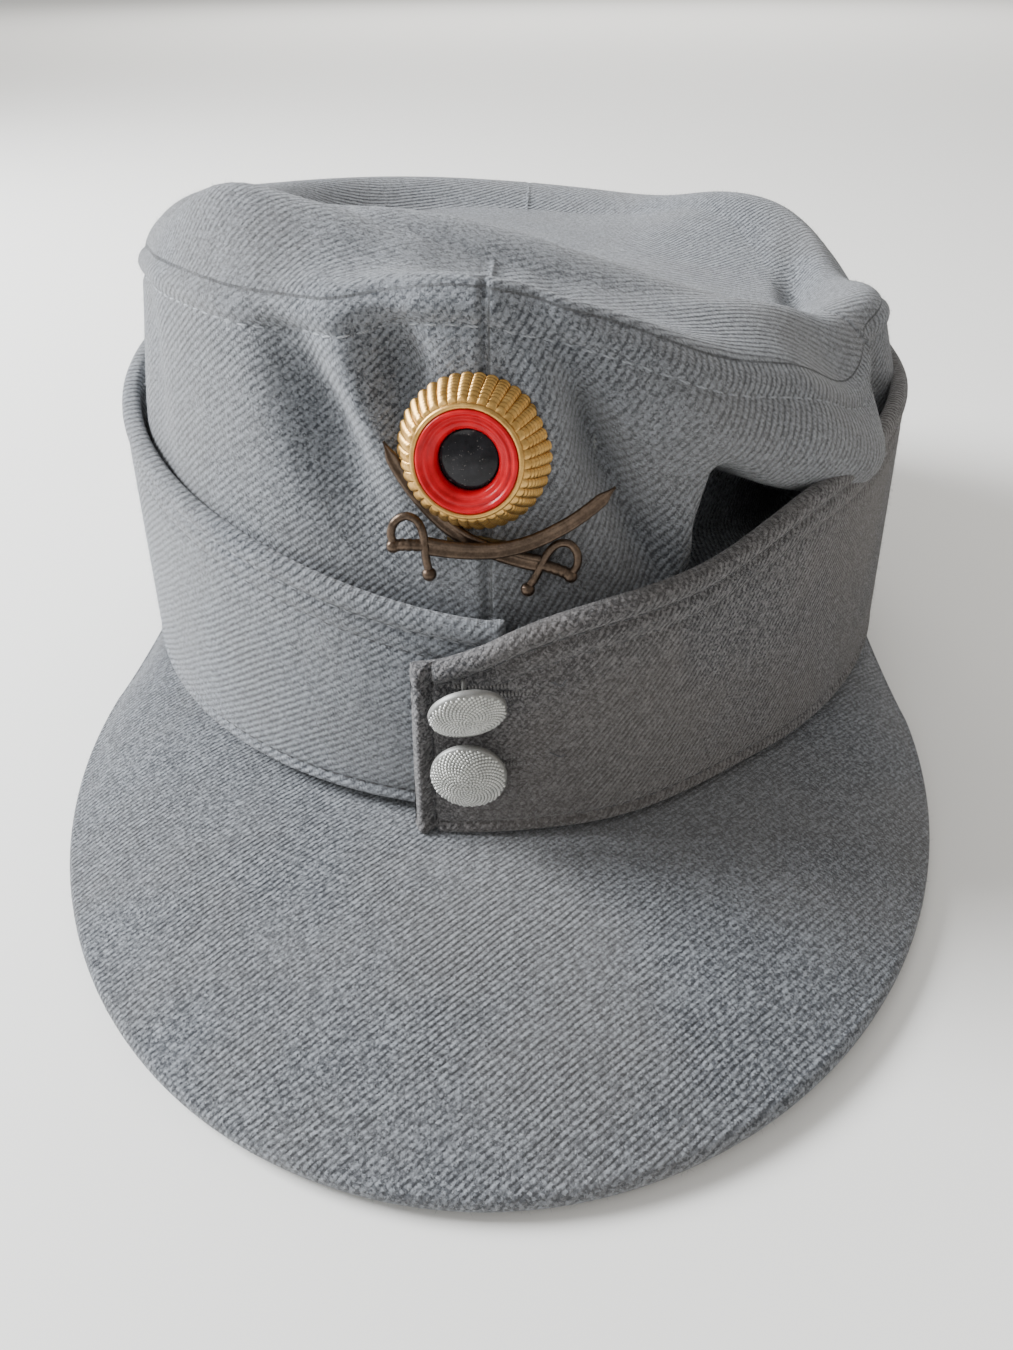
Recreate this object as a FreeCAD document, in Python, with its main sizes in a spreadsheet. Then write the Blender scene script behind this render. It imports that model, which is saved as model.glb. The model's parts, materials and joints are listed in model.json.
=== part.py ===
import FreeCAD, Part
import Sketcher
import os
from math import cos, degrees, exp, pi, radians, sin, sqrt

# A soft field cap with a wide cloth visor and a turn-up flap that buttons in front. Millimetres.
# +Z is up and the cap faces -Y. The origin is the middle of the head opening,
# on the surface the cap rests on.

Vector = FreeCAD.Vector
doc = FreeCAD.newDocument("FieldCap")

# Driving dimensions ------------------------------------------------------------------------------
sizes = {
    "headHalfWidth": 80.2,
    "headHalfLength": 99.2,
    "rimHeight": 6.5,
    "rimTilt": 0.0613,
    "sweatbandThickness": 1.0,
    "sweatbandHeight": 36,
    "liningThickness": 0.3,
    "clothThickness": 1.6,
    "layerGap": 0.1,
    "seamGap": 0.3,
    "crownHeight": 91,
    "crownFrontRise": 6,
    "crownSlump": 6.5,
    "crownSideDrop": 7.5,
    "crownTopHalfWidth": 77,
    "crownTopHalfLength": 90,
    "crownSag": 10,
    "crownPuff": 5,
    "sideSeamAngle": 64,
    "flapGap": 0.4,
    "flapClothThickness": 1.5,
    "flapRootHeight": 9.8,
    "flapFrontTop": 51,
    "flapSideRise": 17,
    "flapLean": 3,
    "tabDrop": 4,
    "wingSwell": 3,
    "templeAngle": 62,
    "leftWingEnd": 2.2,
    "tabEnd": 6.5,
    "tabRoot": 9.6,
    "overlapStart": 34,
    "stitchWidth": 0.6,
    "stitchHeight": 0.3,
    "visorPastHead": 5.1,
    "visorLength": 105.4,
    "visorCentre": 62.3,
    "visorBoardThickness": 1.4,
    "visorCoverThickness": 0.9,
    "visorArch": 2.5,
    "visorBoardInset": 2,
    "visorSpan": 76,
    "buttonRadius": 6.2,
    "buttonDome": 1.9,
    "buttonRim": 1.0,
    "buttonShell": 0.35,
    "buttonPlate": 0.6,
    "shankWire": 0.4,
    "shankRadius": 1.3,
    "upperButtonHeight": 42.7,
    "lowerButtonHeight": 29.3,
    "buttonClearance": 0.7,
    "buttonSide": -2.4,
    "upperButtonTilt": 22,
    "buttonholeLength": 15,
    "buttonholeWidth": 2.2,
    "roundelHeight": 77.4,
    "roundelSide": -1.0,
    "roundelRadius": 10.9,
    "roundelDepth": 6.4,
    "roundelFaceRadius": 8.0,
    "roundelRingRadius": 7.6,
    "roundelCentreRadius": 4.4,
    "roundelFlutes": 38,
    "insigniaLean": 9.5,
    "badgeHeight": 63,
    "badgeTurn": -10,
    "bladeTipSide": 17.4,
    "bladeTipRise": 13,
    "bladeWidth": 2.2,
    "bladeThickness": 1.1,
    "hiltSide": 9,
    "gripLength": 4.5,
    "gripRadius": 1.0,
    "guardRadius": 3.0,
    "guardWire": 0.55,
    "pinRadius": 0.45,
    "roundelPinSide": 3.2,
    "badgePinSide": 5,
    "washerThickness": 0.5,
}
sheet = doc.addObject("Spreadsheet::Sheet", "Sizes")
for row, (alias, value) in enumerate(sizes.items(), start=1):
    sheet.set(f"A{row}", alias)
    sheet.set(f"B{row}", str(value))
    sheet.setAlias(f"B{row}", alias)
doc.recompute()


def size(alias):
    return float(sheet.get(alias))


# Layers of the wall, counted outwards from the head ------------------------------------------------
layerGap = size("layerGap")
sweatbandOut = size("sweatbandThickness")
liningIn = sweatbandOut + layerGap
liningOut = liningIn + size("liningThickness")
crownIn = liningOut + layerGap
crownOut = crownIn + size("clothThickness")
facingIn = crownOut + size("flapGap")
facingOut = facingIn + size("flapClothThickness")
outerIn = facingOut + layerGap
outerOut = outerIn + size("flapClothThickness")
overlapLift = outerOut - facingIn + size("flapGap")
templeAngle = size("templeAngle")
nodes = {}


def keep(label, shape, frame=FreeCAD.Placement()):
    feature = doc.addObject("Part::Feature", label)
    feature.Label = label
    feature.Shape = shape
    feature.Placement = frame
    nodes[label] = feature
    return feature


# Surfaces of the cap -------------------------------------------------------------------------------
def rimZ(y):
    return size("rimHeight") - size("rimTilt") * y


def crownTopZ(across, along):
    """Height of the crown's top seam, from the place on a unit circle; along is 1 at the front."""
    level = size("crownHeight") + size("crownFrontRise") * along
    return level - size("crownSlump") * across - size("crownSideDrop") * across**2


def wallPoint(turn, rise, layer):
    """A point of the crown's wall: turn is in degrees from the front, rise runs from rim 0 to top 1."""
    across = sin(radians(turn))
    along = cos(radians(turn))
    leanX = size("headHalfWidth") + crownOut - size("crownTopHalfWidth")
    leanY = size("headHalfLength") + crownOut - size("crownTopHalfLength")
    halfWidth = size("headHalfWidth") + layer - leanX * rise**1.2
    halfLength = size("headHalfLength") + layer - leanY * rise**1.2
    low = rimZ(-size("headHalfLength") * along)
    high = crownTopZ(across, along)
    return Vector(halfWidth * across, -halfLength * along, low + rise * (high - low))


def wallRise(turn, height):
    """The rise at which the wall reaches a height."""
    low = wallPoint(turn, 0, 0).z
    return (height - low) / (wallPoint(turn, 1, 0).z - low)


def flapPoint(turn, rise, layer):
    """A point of the turn-up flap: rise runs from its root 0 to its free top edge 1."""
    across = sin(radians(turn))
    along = cos(radians(turn))
    inset = layer - size("flapLean") * rise
    x = (size("headHalfWidth") + inset) * across
    y = -(size("headHalfLength") + inset) * along
    low = size("flapRootHeight") - size("rimTilt") * y
    high = size("flapFrontTop") + size("flapSideRise") * abs(across) ** 1.2
    return Vector(x, y, low + rise * (high - low))


def smooth(value):
    value = min(max(value, 0), 1)
    return value * value * (3 - 2 * value)


def rightWingPoint(turn, rise, layer):
    """The right wing rides up over the left one towards the front."""
    start = size("overlapStart")
    ramp = smooth((start - turn) / (start - size("tabRoot")))
    # its free edge swells beside the tab and droops at the tab's end
    change = size("wingSwell") * exp(-(((turn - 12) / 12) ** 2))
    change -= size("tabDrop") * exp(-(((turn + 8) / 8) ** 2))
    return flapPoint(turn, rise, layer + overlapLift * ramp) + Vector(0, 0, rise * change)


# Sheets of cloth -----------------------------------------------------------------------------------
def spread(first, last, count):
    return [first + (last - first) * k / (count - 1) for k in range(count)]


def surfaceThrough(rows):
    surface = Part.BSplineSurface()
    surface.interpolate(rows)
    return surface


def borders(surface):
    firstU, lastU, firstV, lastV = surface.bounds()
    sides = [surface.uIso(firstU), surface.uIso(lastU), surface.vIso(firstV), surface.vIso(lastV)]
    return [side.toShape() for side in sides]


def solidBetween(outerRows, innerRows):
    """A closed solid between two grids of points that match one to one."""
    outer = surfaceThrough(outerRows)
    inner = surfaceThrough(innerRows)
    faces = [outer.toShape(), inner.toShape()]
    for outerEdge, innerEdge in zip(borders(outer), borders(inner)):
        faces.append(Part.makeRuledSurface(outerEdge, innerEdge))
    shell = Part.makeShell(faces)
    shell.sewShape()
    solid = Part.makeSolid(shell)
    if solid.Volume < 0:
        solid.reverse()
    return solid


def strip(point, turns, rises, layers, counts=(13, 7)):
    """A sheet that follows one of the cap's surfaces between two turns, two rises and two layers."""
    def rows(layer):
        return [[point(turn, rise, layer) for rise in spread(*rises, counts[1])]
                for turn in spread(*turns, counts[0])]
    return solidBetween(rows(layers[1]), rows(layers[0]))


def seam(turn, side):
    """A panel's edge, half a seam gap away from the seam line; side is the way off the seam."""
    return turn + side * degrees(size("seamGap") / 2 / size("headHalfWidth"))


# Crown ---------------------------------------------------------------------------------------------
outward = Vector(0, -cos(radians(size("insigniaLean"))), sin(radians(size("insigniaLean"))))


def insigniaFrame(height, side, turn, gap):
    """Local frame of an insignia: X to the wearer's left, Y up the crown's front, Z out of the cloth."""
    place = wallPoint(0, wallRise(0, height), crownOut) + outward * gap + Vector(side, 0, 0)
    upright = FreeCAD.Rotation(Vector(1, 0, 0), 90 - size("insigniaLean"))
    return FreeCAD.Placement(place, upright * FreeCAD.Rotation(Vector(0, 0, 1), turn))


roundelFrame = insigniaFrame(size("roundelHeight"), size("roundelSide"), 0, 0.7)
badgeFrame = insigniaFrame(size("badgeHeight"), 0, size("badgeTurn"), 0.6)
pinSides = {"roundel": (roundelFrame, size("roundelPinSide")), "badge": (badgeFrame, size("badgePinSide"))}


def pinHoles(radius):
    holes = []
    for frame, side in pinSides.values():
        for x in (-side, side):
            holes.append(Part.makeCylinder(radius, 20, frame.multVec(Vector(x, 0, -10)), outward))
    return Part.makeCompound(holes)


sideSeam = size("sideSeamAngle")
walls = {
    "crown_front_left": (-sideSeam, 0),
    "crown_front_right": (0, sideSeam),
    "crown_back_right": (sideSeam, 180),
    "crown_back_left": (180, 360 - sideSeam),
}
holes = pinHoles(size("pinRadius") + 0.1)
for label, (start, end) in walls.items():
    panel = strip(wallPoint, (seam(start, 1), seam(end, -1)), (0, 1), (crownIn, crownOut))
    if "front" in label:
        panel = panel.cut(holes)
    keep(label, panel)


def discRows(reach, lift):
    """A grid over the oval top, from a square drawn out to a disc. The middle sags below the rolled edge."""
    rows = []
    for u in spread(-1, 1, 13):
        row = []
        for v in spread(-1, 1, 13):
            across = reach * u * sqrt(1 - v * v / 2)
            along = reach * v * sqrt(1 - u * u / 2)
            inside = max(1 - across**2 - along**2, 0)
            level = crownTopZ(across, along) + size("crownPuff") * 4 * inside * (1 - inside)
            level -= size("crownSag") * inside**2
            x = size("crownTopHalfWidth") * across
            row.append(Vector(x, -size("crownTopHalfLength") * along, level + lift))
        rows.append(row)
    return rows


def topSheet(low, thickness, reach):
    return solidBetween(discRows(reach, low + thickness), discRows(reach, low))


keep("crown_top_panel", topSheet(layerGap, size("clothThickness"), 1))
liningReach = 1 - (crownOut - liningIn) / size("crownTopHalfWidth")
liningLow = -size("liningThickness") - layerGap
keep("lining_top", topSheet(liningLow, size("liningThickness"), liningReach))

around = (-180 + 0.3, 180 - 0.3)
liningShape = strip(wallPoint, around, (0.06, 0.975), (liningIn, liningOut), (41, 7))
keep("lining_wall", liningShape.cut(holes))


bandTop = size("sweatbandHeight") / size("crownHeight")
keep("sweatband", strip(wallPoint, around, (0.01, bandTop), (0, sweatbandOut), (41, 5)))
keep("size_label", strip(wallPoint, (168, 192), (0.3 * bandTop, 0.8 * bandTop), (-0.6, -layerGap), (5, 4)))

# Stitching that shows on the crown
onCrown = (crownOut + 0.05, crownOut + 0.05 + size("stitchHeight"))
stitchTurn = degrees(size("stitchWidth") / size("headHalfWidth"))
seamStitch = (1.4, 1.4 + stitchTurn)
keep("front_seam_stitching", strip(wallPoint, seamStitch, (0.5, 0.95), onCrown, (3, 7)).cut(holes))
stitchRise = size("stitchWidth") / size("crownHeight")
for name, turns in {"left": (-sideSeam + 1, -0.5), "right": (2.6, sideSeam - 1)}.items():
    edge = strip(wallPoint, turns, (0.955 - stitchRise, 0.955), onCrown, (13, 3))
    keep(f"crown_edge_stitching_{name}", edge.cut(holes))

# Visor ---------------------------------------------------------------------------------------------
visorCount = 25


def visorInner(turn, layer):
    x = (size("headHalfWidth") + layer) * sin(radians(turn))
    y = -(size("headHalfLength") + layer) * cos(radians(turn))
    return Vector(x, y, rimZ(y) - 2.2)


def visorOuterLine():
    """Half an ellipse on the table, whose two ends rise to the crown's rim at the temples."""
    halfWidth = size("headHalfWidth") + size("visorPastHead")
    corner = visorInner(size("visorSpan"), crownOut + 0.8)
    middle = -size("visorCentre")
    points = []
    for turn in spread(0, 90, 9):
        y = middle - size("visorLength") * cos(radians(turn))
        points.append(Vector(halfWidth * sin(radians(turn)), y, 0))
    for share in (0.4, 0.75, 1):
        x = halfWidth + (corner.x - halfWidth) * share
        points.append(Vector(x, middle + (corner.y - middle) * share, corner.z * share**1.5))
    mirrored = [Vector(-point.x, point.y, point.z) for point in reversed(points[1:])]
    curve = Part.BSplineCurve()
    curve.interpolate(mirrored + points)
    return curve


visorEdge = visorOuterLine().discretize(visorCount)
visorTurns = spread(-size("visorSpan"), size("visorSpan"), visorCount)


def visorRows(lift, inset):
    """A grid over the visor, from the crown's rim out to the edge or to a line inset from it."""
    rows = []
    for turn, edge in zip(visorTurns, visorEdge):
        start = visorInner(turn, crownOut + 0.3)
        furthest = max(1 - inset / (edge - start).Length, 0.5)
        row = []
        for share in spread(0, furthest, 7):
            point = start + (edge - start) * share
            point.z += lift + size("visorArch") * 4 * share * (1 - share) * cos(radians(turn))
            row.append(point)
        rows.append(row)
    return rows


visorBoardLow = size("visorCoverThickness") + layerGap
visorTopLow = visorBoardLow + size("visorBoardThickness") + layerGap
visorLayers = {
    "visor_under_cover": (0, size("visorCoverThickness"), 0),
    "visor_board": (visorBoardLow, size("visorBoardThickness"), size("visorBoardInset")),
    "visor_top_cover": (visorTopLow, size("visorCoverThickness"), 0),
}
for label, (low, thickness, inset) in visorLayers.items():
    keep(label, solidBetween(visorRows(low + thickness, inset), visorRows(low, inset)))

# Turn-up flap --------------------------------------------------------------------------------------
onFlap = (outerOut + 0.05, outerOut + 0.05 + size("stitchHeight"))
layersOfFlap = {"facing": (facingIn, facingOut), "outer": (outerIn, outerOut)}
earTurns = {"right": (seam(templeAngle, 1.4), 180 - 0.2), "left": (180 + 0.2, 360 - seam(templeAngle, 1.4))}
for side, turns in earTurns.items():
    for cloth, layers in layersOfFlap.items():
        keep(f"ear_flap_{side}_{cloth}", strip(flapPoint, turns, (0, 1), layers))
rootTape = (templeAngle + 2, 358 - templeAngle)
keep("flap_root_tape", strip(flapPoint, rootTape, (0.02, 0.1), (crownOut + 0.05, facingIn - 0.05), (41, 3)))

templeStart = seam(templeAngle, -1.4)
for cloth, layers in layersOfFlap.items():
    keep(f"left_wing_{cloth}", strip(flapPoint, (-templeStart, size("leftWingEnd")), (0, 1), layers))
    keep(f"right_wing_{cloth}", strip(rightWingPoint, (size("tabRoot") + 0.05, templeStart), (0, 1), layers))
edgeRise = (0.93, 0.945)
wingStitches = {
    "left_wing_stitching": (flapPoint, (-templeStart + 1, -size("tabEnd") - 1)),
    "right_wing_stitching": (rightWingPoint, (size("tabRoot") + 1, templeStart - 1)),
}
for label, (point, turns) in wingStitches.items():
    keep(label, strip(point, turns, edgeRise, onFlap, (17, 3)))

# Buttons and the tab that they hold ------------------------------------------------------------------
tabOuter = size("headHalfLength") + outerOut + overlapLift
sewnFace = size("headHalfLength") + outerOut
buttonHeights = {"upper": size("upperButtonHeight"), "lower": size("lowerButtonHeight")}
buttonTilts = {"upper": size("upperButtonTilt"), "lower": 0}


def shankPlace(height):
    """The middle of the shank's eye, just outside the left wing's cloth."""
    share = (height - 16) / (size("flapFrontTop") - 16)
    reach = sewnFace - size("flapLean") * share + size("shankRadius") + 2 * size("shankWire")
    return Vector(size("buttonSide"), -reach, height)


tab = strip(rightWingPoint, (-size("tabEnd"), size("tabRoot")), (0, 1), (facingIn, outerOut), (7, 7))
for name, height in buttonHeights.items():
    eye = shankPlace(height)
    corner = Vector(eye.x - size("buttonholeWidth"), -tabOuter - 5, height - size("buttonholeWidth"))
    slit = Part.makeBox(size("buttonholeLength"), 20, 2 * size("buttonholeWidth"), corner)
    tab = tab.cut(slit)
    around = Part.makeBox(size("buttonholeLength") + 1.6, 20, 2 * size("buttonholeWidth") + 1.6,
                          corner - Vector(0.8, 0, 0.8))
    skin = strip(rightWingPoint, (-size("tabEnd") + 0.5, size("tabRoot") - 0.05), (0.05, 0.95),
                 (outerOut + 0.05, outerOut + 0.35), (7, 7))
    keep(f"{name}_buttonhole_stitching", skin.common(around).cut(slit))
keep("buttonhole_tab", tab)

plateRadius = size("buttonRadius") - size("buttonShell") - 0.05
# The heads stand off far enough for the upper one to tilt clear of the tab.
tabReach = overlapLift - size("shankRadius") - 2 * size("shankWire")
tilt = radians(size("upperButtonTilt"))
headStart = (tabReach + size("buttonClearance") + size("buttonRadius") * sin(tilt)) / cos(tilt)


def buttonParts(name):
    """Shell and back plate as parametric primitives, stood along +Z from the shank's eye."""
    def primitive(kind, suffix, **expressions):
        item = doc.addObject(kind, f"{name}_{suffix}")
        for field, expression in expressions.items():
            item.setExpression(field, expression)
        return item

    def joined(kind, suffix, base, tool):
        item = doc.addObject(kind, f"{name}_{suffix}")
        item.Base = base
        item.Tool = tool
        return item

    sphere = "((Sizes.buttonRadius - {0})^2 + Sizes.buttonDome^2) / (2 * Sizes.buttonDome)"
    caps = []
    for suffix, inset, lift in (("dome", "0", "0"),
                                ("domeHollow", "Sizes.buttonShell", "-Sizes.buttonShell")):
        radius = sphere.format(inset)
        base = f"{headStart} + Sizes.buttonRim + {lift}"
        latitude = f"asin(({radius} - Sizes.buttonDome) / ({radius}))"
        cap = primitive("Part::Sphere", suffix, Radius=radius, Angle1=latitude)
        cap.setExpression("Placement.Base.z", f"{base} - ({radius} - Sizes.buttonDome)")
        caps.append(cap)
    rim = primitive("Part::Cylinder", "rim", Radius="Sizes.buttonRadius", Height="Sizes.buttonRim")
    rim.Placement.Base.z = headStart
    hollow = primitive("Part::Cylinder", "rimHollow", Radius="Sizes.buttonRadius - Sizes.buttonShell",
                       Height="Sizes.buttonRim - Sizes.buttonShell + 1")
    hollow.Placement.Base.z = headStart - 1
    outside = joined("Part::Fuse", "outside", rim, caps[0])
    inside = joined("Part::Fuse", "inside", hollow, caps[1])
    shell = joined("Part::Cut", "shell", outside, inside)
    plate = primitive("Part::Cylinder", "plate", Radius=f"{plateRadius}", Height="Sizes.buttonPlate")
    plate.Placement.Base.z = headStart
    stem = primitive("Part::Cylinder", "stem", Radius="Sizes.shankWire",
                     Height=f"{headStart} - Sizes.shankRadius")
    stem.Placement.Base.z = size("shankRadius")
    eye = primitive("Part::Torus", "eye", Radius1="Sizes.shankRadius", Radius2="Sizes.shankWire")
    eye.Placement.Rotation = FreeCAD.Rotation(Vector(0, 1, 0), 90)
    back = joined("Part::Fuse", "back", joined("Part::Fuse", "backAndStem", plate, stem), eye)
    return shell, back


for name, height in buttonHeights.items():
    shellItem, backItem = buttonParts(name)
    turned = FreeCAD.Rotation(Vector(1, 0, 0), 90 + buttonTilts[name])
    for label, item in ((f"{name}_button_shell", shellItem), (f"{name}_button_back", backItem)):
        item.Label = label
        item.Placement = FreeCAD.Placement(shankPlace(height), turned)
        nodes[label] = item
    loop = size("shankRadius") * 0.9
    loopMiddle = shankPlace(height) + Vector(0, loop + size("shankWire") / 2, 0)
    thread = Part.makeTorus(loop, 0.28, loopMiddle, Vector(0, 0, 1))
    keep(f"{name}_button_thread", thread)

# Insignia ------------------------------------------------------------------------------------------
def value(expression):
    return float(sheet.evalExpression(expression))


def turnedBody(label, profile, frame):
    """A body turned about its own Z from a closed outline of (radius, height) expressions."""
    body = doc.addObject("PartDesign::Body", label)
    sketch = body.newObject("Sketcher::SketchObject", f"{label}_outline")
    plane = next(item for item in body.Origin.OriginFeatures if item.Role == "XZ_Plane")
    sketch.AttachmentSupport = (plane, [""])
    sketch.MapMode = "FlatFace"
    corners = [Vector(value(radius), value(height), 0) for radius, height in profile]
    count = len(corners)
    for k in range(count):
        sketch.addGeometry(Part.LineSegment(corners[k], corners[(k + 1) % count]), False)
    for k in range(count):
        sketch.addConstraint(Sketcher.Constraint("Coincident", k, 2, (k + 1) % count, 1))
    for k, (radius, height) in enumerate(profile):
        for kind, expression, axis in (("DistanceX", radius, -2), ("DistanceY", height, -1)):
            if value(expression) == 0:
                sketch.addConstraint(Sketcher.Constraint("PointOnObject", k, 1, axis))
                continue
            number = sketch.addConstraint(Sketcher.Constraint(kind, k, 1, value(expression)))
            sketch.setExpression(f"Constraints[{number}]", expression)
    turning = body.newObject("PartDesign::Revolution", f"{label}_turning")
    turning.Profile = sketch
    turning.ReferenceAxis = (sketch, ["V_Axis"])
    turning.Angle = 360
    body.Label = label
    body.Placement = frame
    nodes[label] = body
    return body


def flutedRing(radius, depth, height):
    """A closed curve with one ripple for each flute."""
    flutes = int(size("roundelFlutes"))
    points = []
    for k in range(flutes * 4):
        angle = 2 * pi * k / (flutes * 4)
        reach = radius + depth * cos(flutes * angle)
        points.append(Vector(reach * cos(angle), reach * sin(angle), height))
    curve = Part.BSplineCurve()
    curve.interpolate(points, PeriodicFlag=True)
    return Part.Wire(curve.toShape())


roundelDepth = size("roundelDepth")
pocket = 0.55 * roundelDepth
ringRadius = size("roundelRingRadius")
skirtRings = [
    flutedRing(size("roundelRadius") - 0.35, 0.3, 0),
    flutedRing(size("roundelRadius") - 0.9, 0.35, 0.5 * roundelDepth),
    flutedRing(size("roundelFaceRadius") + 0.5, 0.25, 0.85 * roundelDepth),
]
skirt = Part.makeLoft(skirtRings, True)
skirt = skirt.cut(Part.makeCylinder(ringRadius + 0.05, roundelDepth, Vector(0, 0, pocket)))
for x in (-size("roundelPinSide"), size("roundelPinSide")):
    skirt = skirt.cut(Part.makeCylinder(size("pinRadius") + 0.05, pocket * 0.6, Vector(x, 0, 0)))
keep("roundel_skirt", skirt, roundelFrame)
beadMiddle = Vector(0, 0, 0.85 * roundelDepth + 0.5)
beads = Part.makeTorus(size("roundelFaceRadius"), 0.42, beadMiddle)
keep("roundel_bead_ring", beads, roundelFrame)

turnedBody("roundel_enamel_ring", [
    ("Sizes.roundelCentreRadius + 0.05", "0.57 * Sizes.roundelDepth"),
    ("Sizes.roundelRingRadius - 0.1", "0.57 * Sizes.roundelDepth"),
    ("Sizes.roundelRingRadius - 0.1", "0.98 * Sizes.roundelDepth"),
    ("Sizes.roundelRingRadius - 0.6", "1.02 * Sizes.roundelDepth"),
    ("Sizes.roundelRingRadius - 1.1", "0.94 * Sizes.roundelDepth"),
    ("Sizes.roundelCentreRadius + 0.9", "0.90 * Sizes.roundelDepth"),
    ("Sizes.roundelCentreRadius + 0.7", "0.80 * Sizes.roundelDepth"),
    ("Sizes.roundelCentreRadius + 0.05", "0.78 * Sizes.roundelDepth"),
], roundelFrame)
turnedBody("roundel_centre", [
    ("0", "0.57 * Sizes.roundelDepth"),
    ("Sizes.roundelCentreRadius", "0.57 * Sizes.roundelDepth"),
    ("Sizes.roundelCentreRadius", "0.70 * Sizes.roundelDepth"),
    ("0", "0.73 * Sizes.roundelDepth"),
], roundelFrame)


def sabre(side):
    """A sabre that lies flat: its hilt is on the given side and its tip on the other."""
    def at(x, y, z=0):
        return Vector(-side * x, y, z)

    hilt = -size("hiltSide")
    width = size("bladeWidth")
    tip = at(size("bladeTipSide"), size("bladeTipRise"))
    lower = Part.Arc(at(hilt, -1.3 - width / 2), at(2.8, -width / 2), tip).toShape()
    upper = Part.Arc(at(hilt, -1.3 + width / 2), at(1.6, width / 2), tip).toShape()
    heel = Part.makeLine(at(hilt, -1.3 - width / 2), at(hilt, -1.3 + width / 2))
    outline = Part.Wire(Part.__sortEdges__([lower, upper, heel]))
    thickness = size("bladeThickness")
    blade = Part.Face(outline).extrude(Vector(0, 0, thickness))
    middle = thickness / 2
    radius = thickness / 2
    gripEnd = at(hilt - size("gripLength"), -1.9, middle)
    start = at(hilt + 0.5, -1.3, middle)
    grip = Part.makeCylinder(radius, (gripEnd - start).Length, start, gripEnd - start)
    pommel = Part.makeSphere(radius * 1.05, gripEnd)
    guardMiddle = at(hilt - size("gripLength") / 2, -1.4, middle)
    guard = Part.makeTorus(size("guardRadius"), radius * 0.95, guardMiddle)
    ball = Part.makeSphere(radius * 1.05, at(hilt + 1.2, -5.6, middle))
    quillon = Part.makeCylinder(radius * 0.8, 4.4, at(hilt + 0.3, -1.3, middle), at(0.9, -4.3))
    return blade.fuse([grip, pommel, guard, ball, quillon])


bar = 0.6
sabreLift = {"sabre_lower": (1, bar + 0.1), "sabre_upper": (-1, bar + size("bladeThickness") + 0.25)}
for label, (side, lift) in sabreLift.items():
    raised = FreeCAD.Placement(Vector(0, 0, lift), FreeCAD.Rotation())
    keep(label, sabre(side), badgeFrame * raised)

# Prongs go through the cloth and its lining, and bend over behind a washer.
washerLow = -(crownOut - liningIn) - 0.7 - 0.8 - size("washerThickness")
for name, (frame, side) in pinSides.items():
    prongs = [Part.makeBox(2 * side + 2, 2, bar, Vector(-side - 1, -1, 0))] if name == "badge" else []
    washer = Part.makeBox(2 * side + 4, 6, size("washerThickness"), Vector(-side - 2, -3, washerLow))
    for sign in (-1, 1):
        foot = Vector(sign * side, 0, washerLow - 0.6)
        washer = washer.cut(Part.makeCylinder(size("pinRadius") + 0.1, 5, foot))
        top = pocket * 0.5 if name == "roundel" else bar / 2
        prongs.append(Part.makeCylinder(size("pinRadius"), top - foot.z, foot))
        leg = Vector(foot.x - size("pinRadius"), -2.6, foot.z)
        prongs.append(Part.makeBox(2 * size("pinRadius"), 2.6, 0.5, leg))
    keep(f"{name}_prongs", prongs[0].fuse(prongs[1:]), frame)
    keep(f"{name}_washer", washer, frame)

# Check and write -------------------------------------------------------------------------------------
doc.recompute()
for item in doc.Objects:
    if {"Invalid", "Error"} & set(item.State):
        raise RuntimeError(f"{item.Label} failed: {item.State}")
os.makedirs("parts", exist_ok=True)
for label, item in nodes.items():
    if item.Shape.isNull() or not item.Shape.isValid():
        raise RuntimeError(f"{label} has no valid shape")
    item.Shape.exportStep(f"parts/{label}.step")
    print(f"{label}: {item.Shape.Volume:.1f} mm3, {len(item.Shape.Solids)} solid")
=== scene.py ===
import json
import math

import bmesh
import bpy
import numpy as np
from mathutils import Matrix, Vector

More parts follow.
